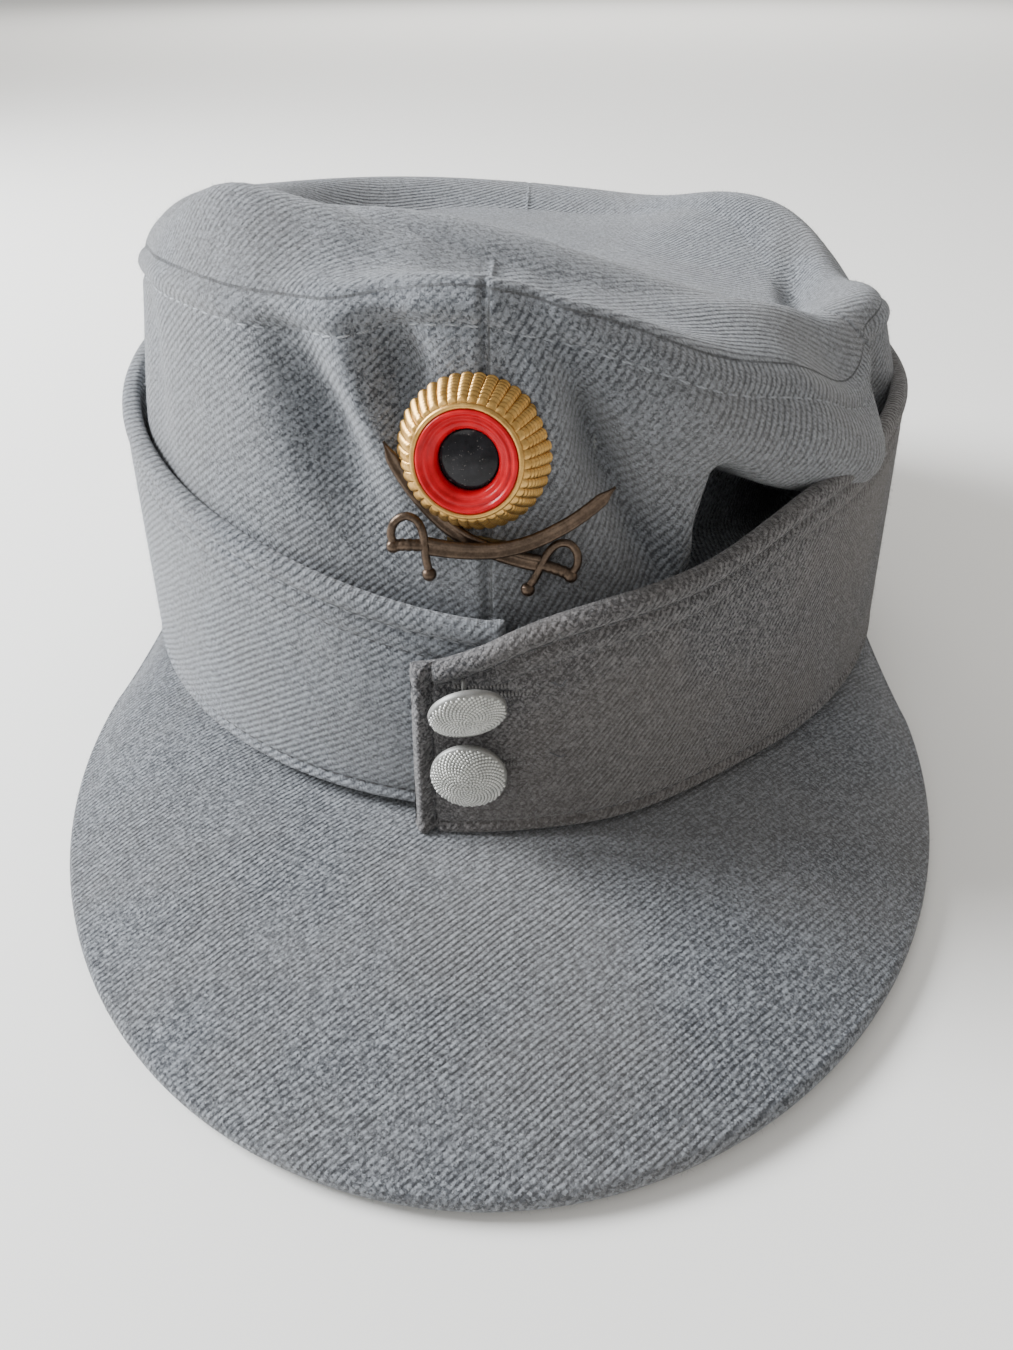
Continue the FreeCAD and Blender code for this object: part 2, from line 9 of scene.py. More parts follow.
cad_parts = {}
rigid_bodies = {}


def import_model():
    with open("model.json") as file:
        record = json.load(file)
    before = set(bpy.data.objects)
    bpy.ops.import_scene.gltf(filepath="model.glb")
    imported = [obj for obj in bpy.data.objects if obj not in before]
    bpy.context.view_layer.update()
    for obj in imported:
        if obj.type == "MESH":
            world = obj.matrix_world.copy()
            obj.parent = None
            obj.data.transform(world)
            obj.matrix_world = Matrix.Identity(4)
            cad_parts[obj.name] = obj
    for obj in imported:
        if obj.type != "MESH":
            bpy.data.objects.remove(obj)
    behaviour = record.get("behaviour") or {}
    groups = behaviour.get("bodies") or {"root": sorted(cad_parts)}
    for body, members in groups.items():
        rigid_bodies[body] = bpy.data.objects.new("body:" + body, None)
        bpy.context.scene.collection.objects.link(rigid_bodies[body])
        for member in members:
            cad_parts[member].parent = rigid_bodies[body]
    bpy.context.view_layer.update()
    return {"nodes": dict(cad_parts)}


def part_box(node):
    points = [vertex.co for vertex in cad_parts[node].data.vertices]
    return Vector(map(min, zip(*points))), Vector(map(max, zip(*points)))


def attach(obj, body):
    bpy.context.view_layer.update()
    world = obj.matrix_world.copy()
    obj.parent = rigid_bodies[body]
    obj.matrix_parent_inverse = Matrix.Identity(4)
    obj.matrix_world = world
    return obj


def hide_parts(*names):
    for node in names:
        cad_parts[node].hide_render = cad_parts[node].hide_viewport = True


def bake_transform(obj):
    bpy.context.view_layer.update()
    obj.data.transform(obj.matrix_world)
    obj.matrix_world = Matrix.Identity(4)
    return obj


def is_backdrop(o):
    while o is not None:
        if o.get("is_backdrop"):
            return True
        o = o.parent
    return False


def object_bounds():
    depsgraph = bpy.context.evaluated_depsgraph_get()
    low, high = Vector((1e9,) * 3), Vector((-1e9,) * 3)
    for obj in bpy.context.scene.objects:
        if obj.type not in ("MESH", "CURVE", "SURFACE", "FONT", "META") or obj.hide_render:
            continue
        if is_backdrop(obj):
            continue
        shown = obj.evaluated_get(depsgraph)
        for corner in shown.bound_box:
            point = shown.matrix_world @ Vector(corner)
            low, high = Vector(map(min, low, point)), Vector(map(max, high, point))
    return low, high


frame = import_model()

# Points are worked out in millimetres with numpy, and become metres when a mesh is made.
mm = 0.001
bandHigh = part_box("sweatband")[1]

cap = {
    "headHalfWidth": bandHigh[0] / mm - 1.0,
    "headHalfLength": bandHigh[1] / mm - 1.0,
    "rimHeight": 6.5,
    "rimTilt": 0.0613,
    "crownOut": 3.1,
    "clothThickness": 1.6,
    "topHalfWidth": 77,
    "topHalfLength": 90,
    "sideSeam": 64,
}


def smooth(value):
    value = np.clip(value, 0, 1)
    return value * value * (3 - 2 * value)


def hump(distance, width):
    return np.exp(-((distance / width) ** 2))


def turnGap(turn, middle):
    return (turn - middle + 180) % 360 - 180


def meshFrom(name, points, faces, uvs):
    mesh = bpy.data.meshes.new(name)
    mesh.from_pydata([tuple(p) for p in (np.asarray(points) * mm)], [], faces)
    layer = mesh.uv_layers.new(name="weave")
    corners = np.array([corner for face in faces for corner in face])
    layer.data.foreach_set("uv", (np.asarray(uvs)[corners] * mm).ravel())
    mesh.polygons.foreach_set("use_smooth", [True] * len(mesh.polygons))
    mesh.update()
    piece = bpy.data.objects.new(name, mesh)
    bpy.context.scene.collection.objects.link(piece)
    return piece


def gridFaces(countU, countV, closedU=False, closedV=False, flip=False):
    faces = []
    for i in range(countU if closedU else countU - 1):
        for j in range(countV if closedV else countV - 1):
            a = i * countV + j
            b = ((i + 1) % countU) * countV + j
            c = ((i + 1) % countU) * countV + (j + 1) % countV
            d = i * countV + (j + 1) % countV
            faces.append((a, d, c, b) if flip else (a, b, c, d))
    return faces


# a mesh over a grid of points; caps closes the two ends of a tube with a fan each
def gridPiece(name, points, uvs=None, closedU=False, closedV=False, flip=False, caps=False):
    countU, countV = points.shape[:2]
    if uvs is None:
        uvs = points[..., :2]
    faces = gridFaces(countU, countV, closedU, closedV, flip)
    flat = points.reshape(-1, 3)
    flatUv = uvs.reshape(-1, 2)
    if caps:
        for row, turned in ((0, not flip), (countU - 1, flip)):
            middle = len(flat)
            flat = np.vstack([flat, points[row].mean(axis=0)])
            flatUv = np.vstack([flatUv, uvs[row].mean(axis=0)])
            for j in range(countV):
                a, b = row * countV + j, row * countV + (j + 1) % countV
                faces.append((middle, b, a) if turned else (middle, a, b))
    return meshFrom(name, flat, faces, flatUv)


def joinPieces(name, pieces):
    chosen = {"active_object": pieces[0], "selected_editable_objects": pieces, "selected_objects": pieces}
    with bpy.context.temp_override(**chosen):
        bpy.ops.object.join()
    pieces[0].name = name
    return pieces[0]


def outwardNormals(piece, mergeDistance=0.00001):
    work = bmesh.new()
    work.from_mesh(piece.data)
    bmesh.ops.remove_doubles(work, verts=work.verts, dist=mergeDistance)
    bmesh.ops.recalc_face_normals(work, faces=work.faces)
    work.to_mesh(piece.data)
    work.free()


def applyModifiers(piece):
    shown = piece.evaluated_get(bpy.context.evaluated_depsgraph_get())
    mesh = bpy.data.meshes.new_from_object(shown)
    piece.modifiers.clear()
    piece.data = mesh
    return piece


# points round a circle, for outlines that are revolved and sections that are swept
def circlePoints(count, radius, middle=(0, 0), start=0, end=2 * math.pi, closed=True):
    angles = np.linspace(start, end, count, endpoint=closed)
    return [(middle[0] + radius * math.cos(a), middle[1] + radius * math.sin(a)) for a in angles]


# an outline of radius and height, turned about Z
def revolved(name, outline, segments=96):
    angles = np.linspace(0, 2 * math.pi, segments, endpoint=False)
    outline = np.array(outline, float)
    points = np.array([[(r * math.cos(a), r * math.sin(a), z) for r, z in outline] for a in angles])
    piece = gridPiece(name, points, closedU=True)
    outwardNormals(piece)
    return piece


# a smooth line through a few points
def throughPoints(points, count):
    points = np.array(points, float)
    padded = np.vstack([2 * points[0] - points[1], points, 2 * points[-1] - points[-2]])
    line = []
    for t in np.linspace(0, len(points) - 1 - 1e-9, count):
        k = int(t)
        f = t - k
        a, b, c, d = padded[k:k + 4]
        cubic = (2 * b, c - a, 2 * a - 5 * b + 4 * c - d, 3 * b - a - 3 * c + d)
        line.append(0.5 * sum(part * f**power for power, part in enumerate(cubic)))
    return np.array(line)


# a section swept along a flat line, wide across it and tall out of its plane
def sweep(name, line, widths, heights, section):
    along = np.gradient(line, axis=0)
    along /= np.linalg.norm(along, axis=1, keepdims=True)
    across = np.cross([0, 0, 1], along)
    across /= np.linalg.norm(across, axis=1, keepdims=True)
    section = np.array(section, float)
    widths = np.broadcast_to(widths, len(line))
    heights = np.broadcast_to(heights, len(line))
    points = (line[:, None, :] + across[:, None, :] * (section[None, :, 0] * widths[:, None])[..., None]
              + np.array([0, 0, 1]) * (section[None, :, 1] * heights[:, None])[..., None])
    piece = gridPiece(name, points, closedV=True, caps=True)
    outwardNormals(piece)
    return piece


roundSection = circlePoints(10, 0.5, closed=False)


# Node trees are written through one small class: settings first, then inputs.
class Maker:
    def __init__(self, tree):
        self.tree = tree

    def node(self, kind, settings, values):
        made = self.tree.nodes.new(kind)
        for key, value in settings.items():
            if key == "stops":
                ramp = made.color_ramp
                while len(ramp.elements) < len(value):
                    ramp.elements.new(0.5)
                for element, (position, colour) in zip(ramp.elements, value):
                    element.position = position
                    element.color = (*colour, 1)
            else:
                setattr(made, key, value)
        for key, value in values.items():
            if value is None:
                continue
            if isinstance(value, Channel):
                value = value.socket
            if isinstance(value, bpy.types.Node):
                value = value.outputs[0]
            if isinstance(value, bpy.types.NodeSocket):
                self.tree.links.new(value, made.inputs[key])
            else:
                made.inputs[key].default_value = value
        return made


# a value that flows between nodes: + - * / on it add Math nodes
class Channel:
    def __init__(self, maker, socket):
        self.maker = maker
        self.socket = socket

    def math(self, operation, other=None):
        node = self.maker.node("ShaderNodeMath", {"operation": operation}, {0: self, 1: other})
        return Channel(self.maker, node.outputs[0])

    def __add__(self, other):
        return self.math("ADD", other)

    __radd__ = __add__

    def __sub__(self, other):
        return self.math("SUBTRACT", other)

    def __rsub__(self, other):
        node = self.maker.node("ShaderNodeMath", {"operation": "SUBTRACT"}, {0: other, 1: self})
        return Channel(self.maker, node.outputs[0])

    def __mul__(self, other):
        return self.math("MULTIPLY", other)

    __rmul__ = __mul__

    def __truediv__(self, other):
        return self.math("DIVIDE", other)

    def sine(self):
        return self.math("SINE")

    def floor(self):
        return self.math("FLOOR")

    def clamped(self):
        return self.math("MAXIMUM", 0).math("MINIMUM", 1)

    # 0 below low, 1 above high, smooth between
    def step(self, low, high):
        settings = {"interpolation_type": "SMOOTHSTEP"}
        values = {"Value": self, "From Min": low, "From Max": high}
        node = self.maker.node("ShaderNodeMapRange", settings, values)
        return Channel(self.maker, node.outputs["Result"])


# one procedural material
class Finish(Maker):
    def __init__(self, name, **fixed):
        self.material = bpy.data.materials.new(name)
        self.material.use_nodes = True
        super().__init__(self.material.node_tree)
        self.tree.nodes.clear()
        output = self.tree.nodes.new("ShaderNodeOutputMaterial")
        self.shader = self.tree.nodes.new("ShaderNodeBsdfPrincipled")
        self.tree.links.new(self.shader.outputs[0], output.inputs[0])
        for socket, value in fixed.items():
            self.shader.inputs[socket.replace("_", " ")].default_value = value
        places = self.tree.nodes.new("ShaderNodeTexCoord")
        self.place = places.outputs["Object"]

    # the weave map in millimetres, as two channels
    def uv(self):
        mapped = self.node("ShaderNodeUVMap", {"uv_map": "weave"}, {})
        parts = self.node("ShaderNodeSeparateXYZ", {}, {0: mapped.outputs[0]})
        return Channel(self, parts.outputs[0]) * 1000, Channel(self, parts.outputs[1]) * 1000

    def xyz(self):
        parts = self.node("ShaderNodeSeparateXYZ", {}, {0: self.place})
        return [Channel(self, parts.outputs[k]) * 1000 for k in range(3)]

    # noise whose blobs are about size millimetres across
    def noise(self, size, detail=2.0, roughness=0.5):
        values = {"Vector": self.place, "Scale": 1000 / size, "Detail": detail, "Roughness": roughness}
        return Channel(self, self.node("ShaderNodeTexNoise", {}, values).outputs["Fac"])

    def speckle(self, size):
        values = {"Vector": self.place, "Scale": 1000 / size}
        made = self.node("ShaderNodeTexVoronoi", {"feature": "F1"}, values)
        parts = self.node("ShaderNodeSeparateXYZ", {}, {0: made.outputs["Color"]})
        return Channel(self, parts.outputs[0])

    def ramp(self, value, *stops):
        return self.node("ShaderNodeValToRGB", {"stops": stops}, {0: value}).outputs["Color"]

    def mix(self, factor, low, high):
        low = (*low, 1) if isinstance(low, tuple) else low
        high = (*high, 1) if isinstance(high, tuple) else high
        values = {0: factor, 6: low, 7: high}
        return self.node("ShaderNodeMix", {"data_type": "RGBA"}, values).outputs[2]

    def bump(self, height, distance, strength=1.0):
        values = {"Height": height, "Distance": distance * mm, "Strength": strength}
        return self.node("ShaderNodeBump", {}, values).outputs["Normal"]

    def finish(self, **links):
        for socket, value in links.items():
            value = value.socket if isinstance(value, Channel) else value
            self.tree.links.new(value, self.shader.inputs[socket.replace("_", " ")])
        return self.material


# a Geometry Nodes tree with named inputs, always ending in Realize Instances and Set Material
class Grower(Maker):
    kinds = {float: "NodeSocketFloat", int: "NodeSocketInt", bpy.types.Material: "NodeSocketMaterial"}

    def __init__(self, name, **inputs):
        super().__init__(bpy.data.node_groups.new(name, "GeometryNodeTree"))
        face = self.tree.interface
        face.new_socket(name="Geometry", in_out="INPUT", socket_type="NodeSocketGeometry")
        face.new_socket(name="Geometry", in_out="OUTPUT", socket_type="NodeSocketGeometry")
        self.keys = {}
        for key, kind in (*inputs.items(), ("material", bpy.types.Material)):
            socket = face.new_socket(name=key, in_out="INPUT", socket_type=self.kinds[kind])
            self.keys[key] = socket.identifier
        self.source = self.tree.nodes.new("NodeGroupInput")
        self.result = self.tree.nodes.new("NodeGroupOutput")

    def given(self, key):
        return self.source.outputs[key]

    def calc(self, operation, a, b=None):
        return self.node("ShaderNodeMath", {"operation": operation}, {0: a, 1: b})

    def triple(self, x=None, y=None, z=None):
        return self.node("ShaderNodeCombineXYZ", {}, {0: x, 1: y, 2: z})

    def copies(self, points, shape, rotation, size=None):
        values = {"Points": points, "Instance": shape, "Rotation": rotation, "Scale": size}
        return self.node("GeometryNodeInstanceOnPoints", {}, values)

    def end(self, geometry):
        real = self.node("GeometryNodeRealizeInstances", {}, {0: geometry})
        shaded = self.node("GeometryNodeSetShadeSmooth", {}, {0: real})
        painted = self.node("GeometryNodeSetMaterial", {}, {0: shaded, "Material": self.given("material")})
        self.tree.links.new(painted.outputs[0], self.result.inputs[0])
        return self

    def grow(self, piece, **values):
        modifier = piece.modifiers.new("grow", "NODES")
        modifier.node_group = self.tree
        for key, value in values.items():
            modifier[self.keys[key]] = value
        bpy.context.view_layer.update()
        return applyModifiers(piece)


def paint(piece, material):
    piece.data.materials.clear()
    piece.data.materials.append(material)


wool = {
    "rib": 1.12,  # spacing of the twill ribs
    "float": 0.62,  # length of one float along a rib
    "angle": 36,  # climb of the ribs towards the right
    "light": (0.315, 0.336, 0.368),
    "dark": (0.055, 0.060, 0.070),
    "warm": (0.185, 0.178, 0.172),
    "relief": 0.42,
}


def twillFinish(name, rib, angle, contrast=1.0, warmth=0.35, shade=(1, 1, 1), grit=1.2):
    finish = Finish(name, Roughness=0.92, Sheen_Weight=0.3, Sheen_Roughness=0.5, Specular_IOR_Level=0.15)
    u, v = finish.uv()
    wander = finish.noise(11, 3) * 1.1 + finish.noise(1.6, 2) * 0.2
    climb = math.radians(angle)
    across = (u * math.sin(climb) - v * math.cos(climb) + wander) / rib
    along = (u * math.cos(climb) + v * math.sin(climb) + finish.noise(2.5, 2) * 0.3) / wool["float"]
    ribs = ((across * 2 * math.pi).sine() * 0.5 + 0.5).math("POWER", 0.7)
    shift = across.floor() * 0.43
    floats = ((along + shift) * 2 * math.pi).sine() * 0.5 + 0.5
    # the nap hides the ribs in places
    height = finish.xyz()[2]
    worn = height.step(86, 99)
    nap = finish.noise(24, 3).step(0.3, 0.72) * 0.45 + finish.noise(3.5, 2) * 0.2 + worn * 0.38
    weave = (ribs * 0.66 + ribs * floats * 0.34) * (1 - nap) + nap * 0.55
    fibres = finish.noise(0.22, 3, 0.75)
    pepper = finish.speckle(0.4)
    grain = finish.noise(0.8, 2, 0.7)
    specks = pepper * 0.42 + fibres * 0.6 + grain * 0.6 - 0.81
    tone = weave * 0.66 * contrast + specks * grit + 0.13 - 0.1 * contrast
    tone = (tone * 1.4 - 0.13).clamped()
    # shade multiplies every colour of the cloth; where it is below 1 it is painted shade
    light = tuple(s * c for s, c in zip(shade, wool["light"]))
    dark = tuple(s * c for s, c in zip(shade, wool["dark"]))
    cloth = finish.ramp(tone, (0.0, dark), (0.42, tuple(0.58 * c for c in light)), (1.0, light))
    patches = finish.noise(38, 3).step(0.38, 0.68) * warmth
    cloth = finish.mix(patches, cloth, tuple(s * c for s, c in zip(shade, wool["warm"])))
    lint = finish.noise(0.45, 1).step(0.66, 0.74) * 0.45
    cloth = finish.mix(lint, cloth, tuple(s * c for s, c in zip(shade, (0.45, 0.47, 0.49))))
    relief = weave * 0.85 + fibres * 0.5 + pepper * 0.35 + grain * 0.3
    roughness = 0.84 + fibres * 0.14
    return finish.finish(Base_Color=cloth, Roughness=roughness, Normal=finish.bump(relief, wool["relief"]))


def threadFinish(name, colour):
    finish = Finish(name, Roughness=0.7, Sheen_Weight=0.2)
    x, y, z = finish.xyz()
    plies = ((x + y * 1.3 + z * 1.7) * 9).sine() * 0.5 + 0.5
    low = tuple(c * 0.6 for c in colour)
    base = finish.ramp(plies * 0.6 + finish.noise(0.3) * 0.4, (0.2, low), (0.8, colour))
    return finish.finish(Base_Color=base, Normal=finish.bump(plies, 0.05))


def metalFinish(name, low, high, rough, bumpSize, bumpDepth, metal, grimeDepth):
    finish = Finish(name, Metallic=metal)
    wear = finish.noise(1.8, 4, 0.6)
    grain = finish.noise(bumpSize, 3, 0.6)
    base = finish.ramp(wear * 0.55 + grain * 0.45, (0.3, low), (0.68, high))
    shade = finish.noise(5, 3).step(0.35, 0.7)
    base = finish.mix(shade * grimeDepth, base, tuple(c * 0.55 for c in low))
    roughness = rough + wear * 0.18 - 0.06
    return finish.finish(Base_Color=base, Roughness=roughness, Normal=finish.bump(grain, bumpDepth))


def enamelFinish(name, low, high, rough, dusty):
    finish = Finish(name, Coat_Weight=0.04, Coat_Roughness=0.1, Specular_IOR_Level=0.22)
    cloud = finish.noise(2.2, 3)
    dust = finish.noise(0.35, 2).step(0.64, 0.74) * dusty
    base = finish.mix(dust, finish.ramp(cloud, (0.3, low), (0.7, high)), (0.35, 0.32, 0.30))
    ripple = finish.bump(finish.noise(1.2, 2), 0.03)
    return finish.finish(Base_Color=base, Roughness=rough + dust * 0.5, Normal=ripple)


def leatherFinish():
    finish = Finish("bandLeather", Specular_IOR_Level=0.45)
    values = {"Vector": finish.place, "Scale": 1300}
    cells = finish.node("ShaderNodeTexVoronoi", {"feature": "DISTANCE_TO_EDGE"}, values)
    grain = Channel(finish, cells.outputs["Distance"]).step(0.0, 0.16)
    cloud = finish.noise(14, 4)
    base = finish.ramp(cloud, (0.3, (0.20, 0.115, 0.06)), (0.7, (0.33, 0.21, 0.12)))
    base = finish.mix(1 - grain, base, (0.13, 0.07, 0.035))
    bumps = finish.bump(grain + finish.noise(0.8) * 0.4, 0.12)
    return finish.finish(Base_Color=base, Roughness=0.42 + cloud * 0.25, Normal=bumps)


def plainWeaveFinish(name, low, high, pitch):
    finish = Finish(name, Roughness=0.85, Sheen_Weight=0.15)
    x, y, z = finish.xyz()
    warp = ((x + y) * (2 * math.pi / pitch)).sine() * 0.5 + 0.5
    weft = ((z + (x - y) * 0.5) * (2 * math.pi / pitch)).sine() * 0.5 + 0.5
    weave = warp * weft + (1 - warp) * (1 - weft)
    tone = weave * 0.5 + finish.noise(0.5, 2) * 0.3 + finish.noise(24, 3) * 0.3
    base = finish.ramp(tone, (0.2, low), (0.85, high))
    return finish.finish(Base_Color=base, Normal=finish.bump(weave, 0.1))


# material name, low and high colour, roughness, grain size and depth in millimetres, metalness, grime
metals = {
    "button": ("buttonMetal", (0.50, 0.50, 0.48), (0.80, 0.80, 0.765), 0.30, 0.25, 0.02, 0.75, 0.12),
    # painted shade: the shell shows between the pebbles and is made much darker than them, so the gaps look
    # shaded
    "paintedGapShade": ("buttonGapMetal", (0.20, 0.20, 0.19), (0.34, 0.34, 0.33), 0.5, 0.25, 0.02, 0.6, 0.3),
    "buttonBack": ("buttonBackMetal", (0.16, 0.16, 0.155), (0.30, 0.30, 0.29), 0.45, 0.25, 0.02, 0.85, 0.3),
    "gilt": ("giltWire", (0.40, 0.205, 0.048), (0.76, 0.48, 0.165), 0.3, 0.2, 0.03, 0.95, 0.3),
    "bronze": ("agedBronze", (0.045, 0.031, 0.022), (0.165, 0.115, 0.082), 0.34, 0.4, 0.05, 0.9, 0.45),
    "brassWire": ("prongBrass", (0.40, 0.28, 0.12), (0.68, 0.50, 0.24), 0.35, 0.3, 0.02, 1.0, 0.3),
    "steel": ("washerSteel", (0.32, 0.32, 0.32), (0.58, 0.58, 0.58), 0.4, 0.4, 0.02, 1.0, 0.3),
}

finishes = {
    "wool": twillFinish("woolTwill", wool["rib"], wool["angle"]),
    "wingWool": twillFinish("woolTwillWing", wool["rib"], 30, 1.15, 0.25),
    # painted shade: the right wing's fine twill is made darker and warmer, as on the side away from the
    # window lamp
    "fineWool": twillFinish("woolTwillFine", 0.9, 48, 0.45, 0.45, (0.70, 0.635, 0.59), 2.0),
    "visorWool": twillFinish("woolTwillVisor", 0.95, 44, 0.6, 0.35, (1, 1, 1), 1.5),
    "fuzz": threadFinish("woolFuzz", (0.42, 0.44, 0.47)),
    "thread": threadFinish("greyThread", (0.36, 0.38, 0.41)),
    "darkThread": threadFinish("darkThread", (0.085, 0.085, 0.09)),
    "holeThread": threadFinish("holeThread", (0.21, 0.20, 0.195)),
    "lining": plainWeaveFinish("liningCotton", (0.16, 0.17, 0.17), (0.34, 0.35, 0.34), 0.9),
    "label": plainWeaveFinish("labelTape", (0.45, 0.43, 0.38), (0.72, 0.70, 0.64), 0.6),
    "leather": leatherFinish(),
    "red": enamelFinish("redEnamel", (0.44, 0.001, 0.007), (0.66, 0.002, 0.012), 0.30, 0.03),
    "black": enamelFinish("blackEnamel", (0.004, 0.004, 0.005), (0.02, 0.02, 0.024), 0.12, 0.3),
}
for key, values in metals.items():
    finishes[key] = metalFinish(*values)
print("finishes made")

crown = {
    "columns": 240,
    "wallRows": 88,
    "topRows": 60,
    # the top seam above or below an even cap: middle turn, width, lift
    "seamLifts": [
        (-2, 10, 2.4), (-25, 14, -2.0), (30, 13, -5.0), (53, 13, -10.0), (76, 9, 1.0), (94, 9, -3),
        (122, 17, 7), (180, 45, -4.5),
    ],
    # dents and swells of the wall: turn, rise, width in turn, width in rise, outward push, slant
    "wallShapes": [
        (-40, 0.62, 26, 0.30, 3.0, 0), (-19, 0.79, 3.8, 0.16, -6.2, -30),
        (-9.5, 0.88, 2.9, 0.09, -5.2, -14), (-13.5, 0.85, 2.6, 0.15, 2.8, -22),
        (7.5, 0.86, 3.0, 0.14, 4.2, 0), (13.0, 0.77, 2.9, 0.19, -8.5, -30), (24, 0.90, 8, 0.10, 4.0, 0),
        (40, 0.87, 12, 0.09, 7.0, 0), (53, 0.84, 8, 0.11, 6.5, 0),
        (66, 0.68, 4, 0.32, -5.0, 0), (84, 0.68, 17, 0.24, 5.5, 0), (125, 0.7, 22, 0.25, 3.0, 0),
        (-88, 1.0, 34, 0.45, -3.2, 0), (-120, 0.68, 20, 0.25, 3.0, 0), (-150, 0.73, 10, 0.14, -3, 0),
        (165, 0.75, 12, 0.14, -3.5, 0), (-52, 0.80, 4.0, 0.16, -1.6, -25),
    ],
    "pocketDepth": 15,  # how far the wall falls in under the swollen right front
    "pocketStart": 23,  # turn of its left fold
    "pocketEnd": 59,
    "pocketFoot": 0.43,  # rise where it starts, above the sweatband
    "ledge": 0.70,  # rise of the cloth that hangs over it
    "frontRidge": -58,  # y of the roll along the front of the top
    "ridgeLeft": 104,  # its height at the left, and at the right
    "ridgeRight": 85,
    "valley": 78,  # height of the sunk middle
    # swells of the top, at its left roll and its back right corner: x, width, y, length, lift
    "topSwells": [(-58, 20, -16, 50, 14), (50, 20, 46, 26, 7)],
}


def rimZ(y):
    return cap["rimHeight"] - cap["rimTilt"] * y


def seamZ(turn):
    across, along = np.sin(np.radians(turn)), np.cos(np.radians(turn))
    height = 91 + 6 * along - 6.5 * across - 7.5 * across**2
    for middle, width, lift in crown["seamLifts"]:
        height = height + lift * hump(turnGap(turn, middle), width)
    return height


# points of the wall's face, layer millimetres out from the line of the head
def crownWall(turn, rise, layer):
    across, along = np.sin(np.radians(turn)), np.cos(np.radians(turn))
    lean = rise**1.2
    leanX = cap["headHalfWidth"] + cap["crownOut"] - cap["topHalfWidth"]
    leanY = cap["headHalfLength"] + cap["crownOut"] - cap["topHalfLength"]
    push = layer
    for middle, level, wide, tall, out, slant in crown["wallShapes"]:
        gap = turnGap(turn, middle + slant * (rise - level))
        push = push + out * hump(gap, wide) * hump(rise - level, tall) * smooth(rise / 0.18)
    push = push + 0.35 * np.sin(np.radians(turn * 11 + 40 * rise)) * np.sin(math.pi * rise)
    # the pocket: a fold at its left end, a ledge over it, and a soft floor
    fold = crown["pocketStart"] + 9 * (rise - 0.5)
    inside = smooth((turn - fold) / 4.5) * (1 - smooth((turn - crown["pocketEnd"]) / 7))
    ledge = crown["ledge"] + 0.09 * smooth((40 - turn) / 16)
    level = smooth((rise - crown["pocketFoot"]) / 0.13) * (1 - smooth((rise - ledge) / 0.07))
    push = push - crown["pocketDepth"] * inside * level
    push = push + 1.6 * hump(turn - fold + 1.5, 2.2) * hump(rise - 0.56, 0.16)
    x = (cap["headHalfWidth"] + push - leanX * lean) * across
    y = -(cap["headHalfLength"] + push - leanY * lean) * along
    low = rimZ(-cap["headHalfLength"] * along)
    z = low + rise * (seamZ(turn) - low)
    # the swollen cloth hangs down over the pocket
    z = z - 4.0 * hump(turnGap(turn, 42), 17) * hump(rise - 0.80, 0.09)
    for seam in (0, cap["sideSeam"], 180, -cap["sideSeam"]):
        away = np.abs(turnGap(turn, seam)) * math.pi / 180 * 88
        groove = -0.9 * hump(away, 0.55) + 0.25 * hump(away - 1.5, 0.9)
        x, y = x + groove * across, y - groove * along
    return np.stack([x, y, z], axis=-1)


# the soft top: a roll along the front, a sunk middle, and rolls round the left and the back
def topZ(x, y):
    ridge = crown["ridgeLeft"] + (crown["ridgeRight"] - crown["ridgeLeft"]) * smooth((x + 22) / 84)
    valley = crown["valley"] - 0.03 * x + 0.02 * np.abs(y)
    line = y - crown["frontRidge"] - 0.10 * x
    z = valley + (ridge - valley) * np.where(line < 0, hump(line, 26), hump(line, 17))
    for middleX, wide, middleY, long, lift in crown["topSwells"]:
        z = z + lift * hump(x - middleX, wide) * hump(y - middleY, long)
    z = z - 4.5 * hump(x - 62 - 0.12 * y, 3.2) * hump(y + 5, 24)
    z = z + 1.4 * np.sin(x / 13 + y / 19) * hump(x, 60) * hump(y - 20, 45)
    return z


# points of the top: reach runs from the middle 0 to the seam 1
def crownTop(turn, reach, drop):
    edge = crownWall(turn, np.ones_like(turn), cap["crownOut"])
    x, y = edge[..., 0] * reach, edge[..., 1] * reach
    blend = smooth((reach - 0.72) / 0.28) ** 1.9
    z = topZ(x, y) * (1 - blend) + edge[..., 2] * blend
    puff = 3.4 + 2.6 * hump(turnGap(turn, -85), 40) - 1.2 * hump(turnGap(turn, 40), 25)
    z = z + puff * np.sin(math.pi * np.clip((1 - reach) / 0.24, 0, 1) ** 0.75)
    return np.stack([x, y, z - drop], axis=-1)


# turns around the cap, closer together beside the upright seams
def seamColumns(count):
    turns = list(np.linspace(-180, 180, count, endpoint=False))
    beside = (-1.4, -1.0, -0.7, -0.45, -0.25, 0.001, 0.25, 0.45, 0.7, 1.0, 1.4)
    for seam in (0, cap["sideSeam"], 179.9, -cap["sideSeam"]):
        turns += [seam + step for step in beside]
    turns = sorted((t + 180) % 360 - 180 for t in turns)
    kept = [turns[0]]
    for t in turns[1:]:
        if t - kept[-1] > 0.12:
            kept.append(t)
    return np.array(kept)


